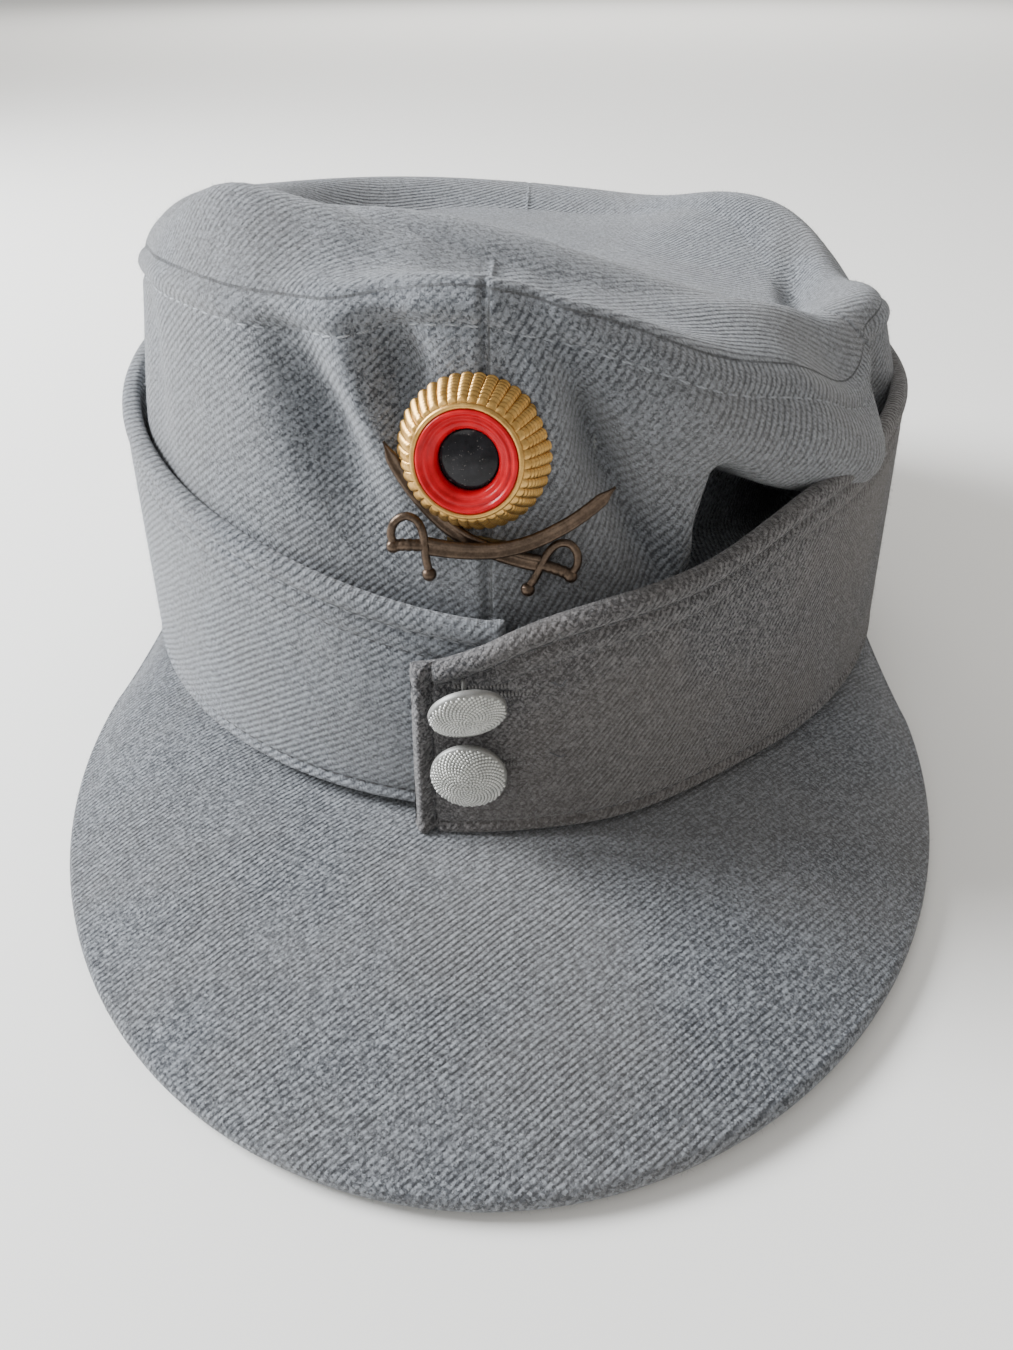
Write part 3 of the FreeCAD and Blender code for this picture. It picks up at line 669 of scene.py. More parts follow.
def crownSheet(layer, drop, turns):
    rises = np.concatenate([np.linspace(0, 0.90, crown["wallRows"]), np.linspace(0.91, 0.985, 12),
                            [0.99, 0.994, 0.997, 1.0]])
    nearSeam = [0.997, 0.993, 0.987, 0.978, 0.966]
    reaches = np.concatenate([nearSeam, np.linspace(0.95, 0.02, crown["topRows"])])
    columns = []
    for turn in turns:
        points = crownWall(np.full_like(rises, turn), rises, layer)
        down = (1 - rises) * 88
        # the seam is drawn in, and the allowance under the topstitching stands up below it
        drawn = 0.8 * hump(down, 0.7) - 0.7 * hump(down - 2.4, 1.6) + 0.45 * hump(down - 5.0, 0.6)
        points[:, 0] -= drawn * math.sin(math.radians(turn))
        points[:, 1] += drawn * math.cos(math.radians(turn))
        roof = crownTop(np.full_like(reaches, turn), reaches, drop)
        shift = points[-1] - crownTop(np.array([turn]), np.array([1.0]), drop)[0]
        roof = roof + shift * (1 - smooth((1 - reaches) / 0.10)[:, None])
        columns.append(np.vstack([points, roof]))
    points = np.array(columns)
    walls = len(rises)
    uvs = np.zeros(points.shape[:2] + (2,))
    # the right front panel was cut with its ribs nearly level, the left one with them climbing
    arc = np.radians(turns) * 88
    high = rises[None, :] * 88
    turned = np.where((turns > 0.5) & (turns < cap["sideSeam"]), math.radians(24), 0)[:, None]
    uvs[:, :walls, 0] = arc[:, None] * np.cos(turned) + high * np.sin(turned)
    uvs[:, :walls, 1] = high * np.cos(turned) - arc[:, None] * np.sin(turned)
    uvs[:, walls:, 0] = points[:, walls:, 0] + 400
    uvs[:, walls:, 1] = points[:, walls:, 1] + 300
    return points, uvs


# the sheet as a mesh, closed at its pole
def closedCap(name, points, uvs):
    countU, countV = points.shape[:2]
    faces = gridFaces(countU, countV, True)
    flat = np.vstack([points.reshape(-1, 3), points[:, -1].mean(axis=0)])
    flatUv = np.vstack([uvs.reshape(-1, 2), uvs[:, -1].mean(axis=0)])
    pole = len(flat) - 1
    for i in range(countU):
        faces.append((i * countV + countV - 1, ((i + 1) % countU) * countV + countV - 1, pole))
    return meshFrom(name, flat, faces, flatUv)


def solidify(piece, thickness):
    wall = piece.modifiers.new("wall", "SOLIDIFY")
    wall.thickness = thickness * mm
    wall.offset = -1
    return applyModifiers(piece)


seamTurns = seamColumns(crown["columns"])
crownPiece = closedCap("crownCloth", *crownSheet(cap["crownOut"], 0, seamTurns))
crownSkin = crownPiece.data.copy()
solidify(crownPiece, cap["clothThickness"])
paint(crownPiece, finishes["wool"])
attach(crownPiece, "crown")
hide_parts("crown_front_left", "crown_front_right", "crown_back_left", "crown_back_right",
            "crown_top_panel")
liningPiece = closedCap("crownLining", *crownSheet(cap["crownOut"] - 2.0, 2.6, seamTurns[::2]))
solidify(liningPiece, 0.3)
paint(liningPiece, finishes["lining"])
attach(liningPiece, "crown")
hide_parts("lining_wall", "lining_top")
print("crown and lining made")

visor = {"halfWidth": 85.3, "length": 105.4, "centre": 62.3, "span": 76, "arch": 2.5, "thickness": 3.9,
         "columns": 220, "rows": 64}


def visorInner(turn):
    across, along = np.sin(np.radians(turn)), np.cos(np.radians(turn))
    reach = cap["crownOut"] + 0.3
    x = (cap["headHalfWidth"] + reach) * across
    y = -(cap["headHalfLength"] + reach) * along
    return np.stack([x, y, rimZ(y) - 2.2], axis=-1)


# half an ellipse on the table whose ends rise to the temples
def visorEdge(count):
    corner = visorInner(np.array([visor["span"]]))[0]
    angles = np.radians(np.linspace(0, 90, 60))
    half = np.stack([visor["halfWidth"] * np.sin(angles),
                     -visor["centre"] - visor["length"] * np.cos(angles), 0 * angles], axis=-1)
    rest = np.linspace(0, 1, 30)[1:, None]
    tail = half[-1] + (corner - half[-1]) * rest
    tail[:, 2] = corner[2] * rest[:, 0] ** 1.5
    side = np.vstack([half, tail])
    line = np.vstack([side[:0:-1] * np.array([-1, 1, 1]), side])
    gone = np.concatenate([[0], np.cumsum(np.linalg.norm(np.diff(line, axis=0), axis=1))])
    wanted = np.linspace(0, gone[-1], count)
    return np.stack([np.interp(wanted, gone, line[:, k]) for k in range(3)], axis=-1)


def makeVisor():
    count = visor["columns"]
    turns = np.linspace(-visor["span"], visor["span"], count)
    inner, edge = visorInner(turns), visorEdge(count)
    half = visor["thickness"] / 2
    shares = np.linspace(0, 1, visor["rows"])
    loops, maps = [], []
    for k in range(count):
        run = edge[k] - inner[k]
        length = np.linalg.norm(run)
        inset = min(half / max(length, 0.1), 0.5)
        span = shares * (1 - inset)
        line = inner[k] + run * span[:, None]
        line[:, 2] += visor["arch"] * 4 * span * (1 - span) * math.cos(math.radians(turns[k]))
        thick = visor["thickness"] * min(1, 0.35 + length / 8)
        upper = line.copy()
        upper[:, 2] += thick
        bend = np.radians(np.linspace(75, -75, 9))
        nose = line[-1] + run / max(length, 0.1) * (np.cos(bend) * min(thick / 2, inset * length))[:, None]
        nose[:, 2] = line[-1][2] + thick / 2 + np.sin(bend) * thick / 2
        ring = np.vstack([upper, nose, line[::-1]])
        loops.append(ring)
        maps.append(np.stack([ring[:, 0], ring[:, 1] + 0.4 * ring[:, 2]], axis=-1))
    points = np.array(loops)
    puff = np.sin(points[..., 0] / 17 + 1) * np.sin(points[..., 1] / 23) * 0.35
    points[..., 2] = np.maximum(points[..., 2] + puff * (points[..., 2] > 1), 0.0)
    return gridPiece("visorCloth", points, np.array(maps), closedV=True, caps=True)


visorCloth = makeVisor()
outwardNormals(visorCloth)
paint(visorCloth, finishes["visorWool"])
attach(visorCloth, "crown")
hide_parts("visor_board", "visor_top_cover", "visor_under_cover")
print("visor made")

flap = {
    "inner": 3.5,
    "outer": 6.7,
    "rootHeight": 9.8,
    "frontTop": 51,
    "sideRise": 17,
    "lean": 3,
    "temple": 62,
    "leftEnd": 2.2,
    "tabEnd": 7.8,
    "overlapStart": 34,
    "overlapFull": 9.6,
    "lift": 4.3,
    # the tab wing's top edge, and its root: middle turn, width, lift
    "topLifts": [(12, 12, 3.0), (-9, 9, -7.6), (40, 10, 2), (88, 20, -3)],
    "rootLifts": [(-8, 13, -1.9)],
    "buttonholes": (42.7, 29.3),
    "columns": 240,
}


def flapHeights(turn, side):
    across = np.sin(np.radians(turn))
    y = -(cap["headHalfLength"] + flap["outer"]) * np.cos(np.radians(turn))
    low = flap["rootHeight"] - cap["rimTilt"] * y
    high = flap["frontTop"] + flap["sideRise"] * np.abs(across) ** 1.2
    if side > 0:
        for middle, width, lift in flap["topLifts"]:
            high = high + lift * hump(turn - middle, width)
        for middle, width, lift in flap["rootLifts"]:
            low = low + lift * hump(turn - middle, width)
    return low, high


# side 1 is the wing with the tab, which rides up over the other one
def flapPoint(turn, rise, layer, side):
    across, along = np.sin(np.radians(turn)), np.cos(np.radians(turn))
    low, high = flapHeights(turn, side)
    push = layer - flap["lean"] * rise
    if side > 0:
        ramp = smooth((flap["overlapStart"] - turn) / (flap["overlapStart"] - flap["overlapFull"]))
        push = push + flap["lift"] * ramp
    # the free edge waves a little, and stands off the crown beside its pocket
    push = push + 0.6 * np.sin(np.radians(turn * 5 + 30 * side)) * rise * hump(turnGap(turn, 60 * side), 60)
    x = (cap["headHalfWidth"] + push) * across
    y = -(cap["headHalfLength"] + push) * along
    return np.stack([x, y, low + rise * (high - low)], axis=-1)


# one closed section: up the outer face, over the rolled top edge, down the inner face
def flapSection(turn, side):
    low, high = flapHeights(turn, side)
    tall = high - low
    middle = (flap["inner"] + flap["outer"]) / 2
    half = (flap["outer"] - flap["inner"]) / 2
    rises, layers = [], []
    steps = [np.linspace(0.012, 0.08, 9), np.linspace(0.10, 0.76, 20), np.linspace(0.78, 0.985, 22)]
    for rise in np.concatenate(steps):
        down, up = (1 - rise) * tall, rise * tall
        # the cloth is drawn in along its stitch lines and stands up between them
        pull = 0.75 * hump(down - 3.0, 0.6) + 0.4 * hump(down - 6.6, 0.7) + 0.6 * hump(up - 2.2, 0.55)
        rises.append(rise)
        layers.append(flap["outer"] + 0.35 * hump(down - 1.3, 1.1) + 0.2 * hump(up - 0.9, 0.8) - pull)
    for angle in np.linspace(20, 160, 7):
        rises.append(0.985 + math.sin(math.radians(angle)) * half / tall * 0.8)
        layers.append(middle + half * 1.08 * math.cos(math.radians(angle)))
    for rise in np.linspace(0.97, 0.03, 16):
        rises.append(rise)
        layers.append(flap["inner"])
    for angle in np.linspace(200, 340, 6):
        rises.append(0.012 + math.sin(math.radians(angle)) * half / tall * 0.6)
        layers.append(middle + half * math.cos(math.radians(angle)))
    return np.array(rises), np.array(layers)


def makeFlap(name, side):
    end = -flap["tabEnd"] if side > 0 else flap["leftEnd"]
    start = 179.8 * side
    spread = np.linspace(0, 1, flap["columns"])
    near = np.array([0.0012, 0.003, 0.006, 0.009, 0.012, 0.015, 0.018, 0.021, 0.024, 0.028])
    turns = np.sort(np.concatenate([start + (end - start) * spread, end + (start - end) * near]))
    if side > 0:
        turns = turns[::-1]
    middle = (flap["inner"] + flap["outer"]) / 2
    loops, maps = [], []
    for turn in turns:
        rises, layers = flapSection(turn, side)
        away = abs(turn - end) * math.pi / 180 * 108
        shaped = middle + (layers - middle) * (0.35 + 0.65 * smooth(away / 1.6) ** 0.5)
        # the tab's end is folded: a raised border, drawn in along its stitching
        if side > 0:
            outside = layers > middle
            shaped = shaped + outside * (0.9 * hump(away - 1.9, 1.3) - 1.1 * hump(away - 4.2, 0.7))
            high = rises * 32
            shaped = shaped + outside * 0.5 * hump(high - 1.6, 1.2) * hump(away, 30)
            for level in flap["buttonholes"]:
                slit = hump(flapPoint(turn, rises, 7, side)[:, 2] - level, 0.9)
                reach = smooth((away - 5) / 3) * (1 - smooth((away - 20) / 3))
                shaped = shaped - outside * 0.8 * slit * reach
        loops.append(flapPoint(np.full_like(rises, turn), rises, shaped, side))
        arc = turn * math.pi / 180 * 100
        maps.append(np.stack([np.full_like(rises, arc) + 700 * side, loops[-1][:, 2]], axis=-1))
    piece = gridPiece(name, np.array(loops), np.array(maps), closedV=True, caps=True)
    outwardNormals(piece)
    return piece


# the piece's transform is baked into its mesh; it is not attached to the crown or to a wing
def followWing(piece, side):
    for step in (3, -3):
        turn = math.radians(flap["temple"] + step)
        side * (cap["headHalfWidth"] + 6) * math.sin(turn) * mm
    "right_wing" if side > 0 else "left_wing"
    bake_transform(piece)


flapPieces = {}
# the right wing's cloth carries painted shade: it is darker and warmer than the left wing's
for side, name, ear, cover in ((-1, "flapLeft", "left", "wingWool"), (1, "flapRight", "right", "fineWool")):
    piece = makeFlap(name, side)
    paint(piece, finishes[cover])
    followWing(piece, side)
    covered = [f"ear_flap_{ear}_outer", f"ear_flap_{ear}_facing", f"{ear}_wing_outer", f"{ear}_wing_facing"]
    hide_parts(*covered, *(["buttonhole_tab"] if side > 0 else []))
    flapPieces[side] = piece
print("flap made")

stitches = {
    "pitch": 3.0,  # from one stitch to the next
    "long": 2.2,
    "wide": 0.42,
    "seed": 11,
}


# instances laid along a line: each turned to the line, its top to the cloth's outside, a little disordered
def lineGrower():
    tree = Grower("stitchLine", pitch=float, long=float, wide=float, seed=int)
    curve = tree.node("GeometryNodeMeshToCurve", {}, {0: tree.given("Geometry")})
    values = {"Curve": curve, "Length": tree.given("pitch")}
    even = tree.node("GeometryNodeResampleCurve", {"mode": "LENGTH"}, values)
    ball = tree.node("GeometryNodeMeshUVSphere", {}, {"Segments": 8, "Rings": 5, "Radius": 0.5})
    tangent = tree.node("GeometryNodeInputTangent", {}, {})
    place = tree.node("GeometryNodeInputPosition", {}, {})
    outer = tree.node("ShaderNodeVectorMath", {"operation": "MULTIPLY"}, {0: place, 1: (1, 1, 0.1)})
    laid = tree.node("FunctionNodeAlignRotationToVector", {"axis": "X"}, {"Vector": tangent})
    faced = tree.node("FunctionNodeAlignRotationToVector", {"axis": "Z", "pivot_axis": "X"},
                      {"Rotation": laid, "Vector": outer})
    jitter = tree.node("FunctionNodeRandomValue", {"data_type": "FLOAT_VECTOR"},
                       {0: (-0.05, -0.05, -0.10), 1: (0.05, 0.05, 0.10), "Seed": tree.given("seed")})
    turned = tree.node("FunctionNodeRotateRotation", {"rotation_space": "LOCAL"},
                       {"Rotation": faced, "Rotate By": jitter})
    size = tree.triple(tree.given("long"), tree.given("wide"), tree.given("wide"))
    return tree.end(tree.copies(even, ball, turned, size))


# short fibres standing off a surface
def fuzzGrower():
    tree = Grower("fuzz", density=float, long=float, wide=float, seed=int)
    values = {"Mesh": tree.given("Geometry"), "Density": tree.given("density"), "Seed": tree.given("seed")}
    spread = tree.node("GeometryNodeDistributePointsOnFaces", {"distribute_method": "RANDOM"}, values)
    values = {"Vertices": 3, "Radius Top": 0.0, "Radius Bottom": 0.5, "Depth": 1.0}
    hair = tree.node("GeometryNodeMeshCone", {}, values)
    lean = tree.node("FunctionNodeRandomValue", {"data_type": "FLOAT_VECTOR"},
                     {0: (-1.35, -1.35, -3.1), 1: (1.35, 1.35, 3.1), "Seed": tree.given("seed")})
    turned = tree.node("FunctionNodeRotateRotation", {"rotation_space": "LOCAL"},
                       {"Rotation": spread.outputs["Rotation"], "Rotate By": lean})
    size = tree.triple(tree.given("wide"), tree.given("wide"), tree.given("long"))
    return tree.end(tree.copies(spread.outputs["Points"], hair, turned, size))


# small flat bumps set close together over a dome, in the order of a sunflower's seeds
def pebbleGrower():
    tree = Grower("pebbles", count=int, reach=float, ball=float, lift=float, wide=float, tall=float)
    calc = tree.calc
    points = tree.node("GeometryNodePoints", {}, {"Count": tree.given("count")})
    index = calc("ADD", tree.node("GeometryNodeInputIndex", {}, {}), 0.5)
    share = calc("SQRT", calc("DIVIDE", index, tree.given("count")))
    out = calc("MULTIPLY", share, tree.given("reach"))
    angle = calc("MULTIPLY", index, 2.399963)
    across = calc("MULTIPLY", out, calc("COSINE", angle))
    along = calc("MULTIPLY", out, calc("SINE", angle))
    ball = calc("MULTIPLY", tree.given("ball"), tree.given("ball"))
    high = calc("SQRT", calc("SUBTRACT", ball, calc("MULTIPLY", out, out)))
    place = tree.triple(across, along, calc("ADD", high, tree.given("lift")))
    laid = tree.node("GeometryNodeSetPosition", {}, {"Geometry": points, "Position": place})
    facing = {"Vector": tree.triple(across, along, high)}
    turned = tree.node("FunctionNodeAlignRotationToVector", {"axis": "Z"}, facing)
    bump = tree.node("GeometryNodeMeshUVSphere", {}, {"Segments": 8, "Rings": 4, "Radius": 0.5})
    size = tree.triple(tree.given("wide"), tree.given("wide"), tree.given("tall"))
    return tree.end(tree.copies(laid, bump, turned, size))


# copies of one piece turned about the local Z axis
def ringGrower():
    tree = Grower("ring", count=int)
    points = tree.node("GeometryNodePoints", {}, {"Count": tree.given("count")})
    index = tree.node("GeometryNodeInputIndex", {}, {})
    full = tree.calc("DIVIDE", 2 * math.pi, tree.given("count"))
    turn = tree.triple(z=tree.calc("MULTIPLY", index, full))
    return tree.end(tree.copies(points, tree.given("Geometry"), turn))


stitchTree, fuzzTree, pebbleTree, ringTree = lineGrower(), fuzzGrower(), pebbleGrower(), ringGrower()


def edgePiece(name, line):
    mesh = bpy.data.meshes.new(name)
    edges = [(k, k + 1) for k in range(len(line) - 1)]
    mesh.from_pydata([tuple(p) for p in np.asarray(line) * mm], edges, [])
    piece = bpy.data.objects.new(name, mesh)
    bpy.context.scene.collection.objects.link(piece)
    return piece


def sew(name, line, material, pitch=None, long=None, wide=None, seed=0):
    pitch, long = pitch or stitches["pitch"], long or stitches["long"]
    wide = wide or stitches["wide"]
    return stitchTree.grow(edgePiece(name, line), pitch=pitch * mm, long=long * mm, wide=wide * mm,
                           seed=stitches["seed"] + seed, material=material)


# crown: one row beside the front seam and one below the top seam, left and right of it
def wallLine(turns, rises, out):
    turns, rises = np.broadcast_arrays(np.asarray(turns, float), np.asarray(rises, float))
    layer = cap["crownOut"] + out
    return np.array([crownWall(np.array([t]), np.array([r]), layer)[0] for t, r in zip(turns, rises)])


seamLine = wallLine(1.55, np.linspace(0.5, 0.955, 60), -0.25)
seamRow = sew("frontSeamStitches", seamLine, finishes["darkThread"], 2.4, 2.1, 0.36)
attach(seamRow, "crown")
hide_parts("front_seam_stitching")
for number, (ear, first, last) in enumerate((("left", -64, -1.2), ("right", 2.6, 63))):
    row = sew(f"crownEdgeStitches_{ear}", wallLine(np.linspace(first, last, 160), 1 - 5.0 / 88, -0.42),
              finishes["thread"], seed=number + 1)
    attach(row, "crown")
    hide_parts(f"crown_edge_stitching_{ear}")


# rows along each wing: distance from its edge, height off the cloth, from the root, pitch, long, wide, seed
flapRows = {
    "upperRow": (3.0, -0.62, False, 2.6, 1.9, 0.34, 3),
    "secondRow": (6.6, -0.36, False, 2.8, 1.5, 0.22, 4),
    "rootRow": (2.2, -0.50, True, 2.6, 1.8, 0.30, 5),
}


def flapSpot(turn, rise, layer, side):
    return flapPoint(np.array([turn]), np.array([rise]), layer, side)[0]


def flapLine(turns, away, side, out, fromRoot):
    line = []
    for turn in turns:
        low, high = flapHeights(turn, side)
        rise = away / (high - low) if fromRoot else 1 - away / (high - low)
        line.append(flapSpot(turn, rise, flap["outer"] + out, side))
    return np.array(line)


for side, ear, first, last in ((-1, "left", -176, -1.5), (1, "right", 176, -4.2)):
    turns = np.linspace(first, last, 420)
    rows = []
    for name, (away, out, fromRoot, *look) in flapRows.items():
        thread = finishes["thread" if side < 0 and name == "upperRow" else "darkThread"]
        rows.append(sew(name, flapLine(turns, away, side, out, fromRoot), thread, *look))
    if side > 0:
        turn = -flap["tabEnd"] + 2.2
        end = [flapSpot(turn, rise, flap["outer"] - 0.75, 1) for rise in np.linspace(0.09, 0.9, 40)]
        rows.append(sew("endRow", np.array(end), finishes["darkThread"], 2.4, 1.8, 0.3, 6))
    row = joinPieces(f"flapStitches_{ear}", rows)
    followWing(row, side)
    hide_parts(f"{ear}_wing_stitching")

holes = {
    "length": 15,
    "width": 0.75,
    "firstX": -4.6,
    "pitch": 0.55,
    "long": 0.42,
    "stitch": 0.95,
    "climb": 0.12,
}
for number, (name, height) in enumerate(zip(("upper", "lower"), flap["buttonholes"])):
    rows = []
    for lift in (-holes["width"], holes["width"]):
        xs = np.linspace(holes["firstX"], holes["firstX"] + holes["length"], 60)
        turns = np.degrees(np.arcsin(xs / (cap["headHalfWidth"] + 10)))
        line = []
        for turn in turns:
            low, high = flapHeights(turn, 1)
            level = height + lift + holes["climb"] * (turn + 3)
            line.append(flapSpot(turn, (level - low) / (high - low), flap["outer"] - 0.42, 1))
        rows.append(stitchTree.grow(edgePiece("edgeRow", line), pitch=holes["pitch"] * mm,
                                    long=holes["long"] * mm, wide=holes["stitch"] * mm,
                                    seed=20 + number, material=finishes["holeThread"]))
    # a loose end frays out of each hole
    end = line[-1]
    stray = [end, end + [0.8, -0.9, 0.5], end + [1.9, -1.2, 0.2], end + [2.6, -0.8, 1.0 - 0.8 * number]]
    rows.append(sew("stray", throughPoints(stray, 20), finishes["darkThread"], 0.3, 0.5, 0.3, 9))
    row = joinPieces(f"{name}ButtonholeStitches", rows)
    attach(row, "right_wing")
    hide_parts(f"{name}_buttonhole_stitching")
print("stitches made")

fuzz = {"perSquareMetre": 420000, "long": 1.1, "wide": 0.045, "seed": 5}


def fuzzOn(name, mesh, density, seed):
    base = bpy.data.objects.new(name, mesh)
    bpy.context.scene.collection.objects.link(base)
    return fuzzTree.grow(base, density=density, long=fuzz["long"] * mm, wide=fuzz["wide"] * mm,
                         seed=fuzz["seed"] + seed, material=finishes["fuzz"])


crownFuzz = fuzzOn("crownFuzz", crownSkin, fuzz["perSquareMetre"], 0)
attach(crownFuzz, "crown")
visorFuzz = fuzzOn("visorFuzz", visorCloth.data.copy(), fuzz["perSquareMetre"] * 0.5, 1)
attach(visorFuzz, "crown")
for side, ear in ((-1, "left"), (1, "right")):
    piece = fuzzOn(f"flapFuzz_{ear}", flapPieces[side].data.copy(), fuzz["perSquareMetre"] * 0.6, 2 + side)
    followWing(piece, side)
print("nap made")

buttons = {
    "radius": 6.2,
    "rim": 1.0,
    "dome": 1.9,
    "stand": 4.77,  # from the shank's eye to the back of the button
    "hollow": 1.4,  # how deep the back is sunk
    "shankWire": 0.45,
    "eyeRadius": 1.3,
    "eyeWire": 0.4,
    "pebbles": 440,
    "pebbleWide": 0.55,
    "pebbleTall": 0.50,
    "leans": {"upper": (22, 13), "lower": (0, 0)},  # how far each hangs face down, and turns aside
    "eyes": {"upper": (-2.4, -105.611, 42.7), "lower": (-2.4, -106.76, 29.3)},
}


# local millimetres to the model: X to the wearer's left, Y up, Z out of the face
def placed(piece, origin, lean, turn=0, yaw=0):
    out = Vector((0, -math.cos(lean), math.sin(lean)))
    up = Vector((0, math.sin(lean), math.cos(lean)))
    frameTurn = Matrix((Vector((1, 0, 0)), up, out)).transposed().to_4x4()
    frameTurn = Matrix.Rotation(yaw, 4, "Z") @ frameTurn
    moved = Matrix.Translation(Vector(origin) * mm)
    piece.data.transform(moved @ frameTurn @ Matrix.Rotation(turn, 4, "Z"))
    return piece


def makeButton(name, tilt, yaw):
    radius, rim, dome, hollow = (buttons[key] for key in ("radius", "rim", "dome", "hollow"))
    ball = (radius**2 + dome**2) / (2 * dome)
    outline = []
    for r in np.linspace(0.0, radius - 0.25, 26):
        outline.append((r, rim + math.sqrt(ball**2 - r**2) - (ball - dome)))
    outline += [(radius - 0.08, rim + 0.05), (radius, rim - 0.2), (radius, 0.25), (radius - 0.12, 0.03),
                (radius - 0.35, 0.0), (radius - 0.5, 0.25), (radius - 0.6, 0.7), (radius - 2.5, hollow),
                (0, 2.0)]
    shell = revolved(name, outline, 72)
    face = revolved("pressed", outline[:27], 72)
    bumps = pebbleTree.grow(face, count=buttons["pebbles"], reach=(radius - 0.3) * mm, ball=ball * mm,
                            lift=(rim + dome - ball) * mm, wide=buttons["pebbleWide"] * mm,
                            tall=buttons["pebbleTall"] * mm, material=finishes["button"])
    wire, low = buttons["shankWire"], hollow - buttons["stand"]
    stem = revolved("stem", [(0, 0), (wire, 0), (wire, low), (0, low)], 12)
    eye = revolved("eye", circlePoints(11, buttons["eyeWire"], (buttons["eyeRadius"], 0)), 28)
    upright = Matrix.Rotation(math.pi / 2, 4, "Y")
    eye.data.transform(Matrix.Translation((0, 0, -buttons["stand"] * mm)) @ upright)
    # the shell takes the darker gap metal: painted shade between the pebbles
    for part, finish in ((shell, "paintedGapShade"), (stem, "buttonBack"), (eye, "buttonBack")):
        paint(part, finishes[finish])
    piece = joinPieces(name, [shell, bumps, stem, eye])
    away = Vector((0, -math.cos(tilt), -math.sin(tilt)))
    # a button that turns aside stands a little further out and higher, clear of the cloth and the other one
    raised = Vector((0, -math.sin(tilt), math.cos(tilt))) * yaw * 2.8
    origin = Vector(buttons["eyes"][name.split("_")[0]]) + away * (buttons["stand"] + yaw * 1.1) + raised
    return placed(piece, origin, -tilt, 0, yaw)


for name, (tilt, yaw) in buttons["leans"].items():
    button = makeButton(f"{name}_pebbledButton", math.radians(tilt), math.radians(yaw))
    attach(button, f"{name}_button")
    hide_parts(f"{name}_button_shell", f"{name}_button_back")
print("buttons made")

insignia = {
    "lean": 9.5,
    "yaw": -6,
    "roundelShift": (-0.6, 0, -0.6),
    "flutes": 38,
    "skirtBase": 11.4,
    "skirtTop": 8.35,
    "skirtHeight": 5.4,
    "coils": 8,
    "beadRing": (8.0, 5.9),  # radius and height of its middle
    "beadWire": 0.45,
    "enamel": [(4.5, 3.7), (7.62, 3.7), (7.62, 6.0), (7.45, 6.35), (7.15, 6.45), (6.85, 6.3), (6.7, 6.0),
               (6.5, 5.9), (6.3, 6.02), (5.95, 5.98), (5.75, 5.6), (5.5, 5.5), (5.2, 5.5), (4.95, 5.3),
               (4.6, 4.7), (4.5, 3.7)],
    "disc": [(0, 4.45), (1.6, 4.42), (3.1, 4.3), (4.2, 4.1), (4.46, 4.0), (4.46, 3.7), (0, 3.7)],
    "badgeHeight": 63,
    "badgeTurn": -10,
}
lean = math.radians(insignia["lean"])
outVector = np.array([0, -math.cos(lean), math.sin(lean)])
low, high = (np.array(corner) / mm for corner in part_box("roundel_centre"))
roundelOrigin = (low + high) / 2 - outVector * 4.1 + np.array(insignia["roundelShift"])


# one flute of the skirt: a tapered half-round roll ribbed like wound wire
def makeFlute():
    steps = np.linspace(0, 1, insignia["coils"] * 6 + 1)
    drop = insignia["skirtBase"] - insignia["skirtTop"]
    radius = insignia["skirtTop"] + drop * (1 - steps) ** 0.62
    z = insignia["skirtHeight"] * steps
    half = math.pi * radius / insignia["flutes"] * 0.98
    ribs = 0.24 * np.abs(np.sin(math.pi * insignia["coils"] * steps))
    points = []
    for k in range(len(steps)):
        row = []
        for angle in np.radians(np.linspace(-100, 100, 9)):
            bulge = (half[k] * 0.55 + ribs[k]) * math.cos(angle)
            row.append((radius[k] - 0.25 + bulge, (half[k] + ribs[k] * 0.4) * math.sin(angle), z[k]))
        points.append(row)
    piece = gridPiece("flute", np.array(points), closedV=True, caps=True)
    outwardNormals(piece)
    return piece


flutes = ringTree.grow(makeFlute(), count=insignia["flutes"], material=finishes["gilt"])
base, top = insignia["skirtBase"], insignia["skirtTop"]
coreOutline = [(7.68, 0.1), (base - 0.3, 0.1), (base - 0.5, 0.5), (top + 0.6, 3.4), (top - 0.1, 5.4),
               (top - 0.35, 5.65), (7.68, 5.6), (7.68, 0.1)]
core = revolved("skirtCore", coreOutline, 114)
paint(core, finishes["gilt"])
beads = revolved("beads", circlePoints(13, insignia["beadWire"], insignia["beadRing"]))
ring = revolved("ring", insignia["enamel"])
disc = revolved("disc", insignia["disc"])
paint(beads, finishes["gilt"])
paint(ring, finishes["red"])
paint(disc, finishes["black"])
goldPiece = joinPieces("fluted_skirt", [core, flutes])
roundelPieces = {
    "roundel_skirt": (goldPiece, "gilt"),
    "roundel_bead_ring": (beads, "gilt"),
    "roundel_enamel_ring": (ring, "red_enamel"),
    "roundel_centre": (disc, "black_enamel"),
}
for node, (piece, slot) in roundelPieces.items():
    placed(piece, roundelOrigin, lean, 0, math.radians(insignia["yaw"]))
    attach(piece, "crown")
    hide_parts(node)

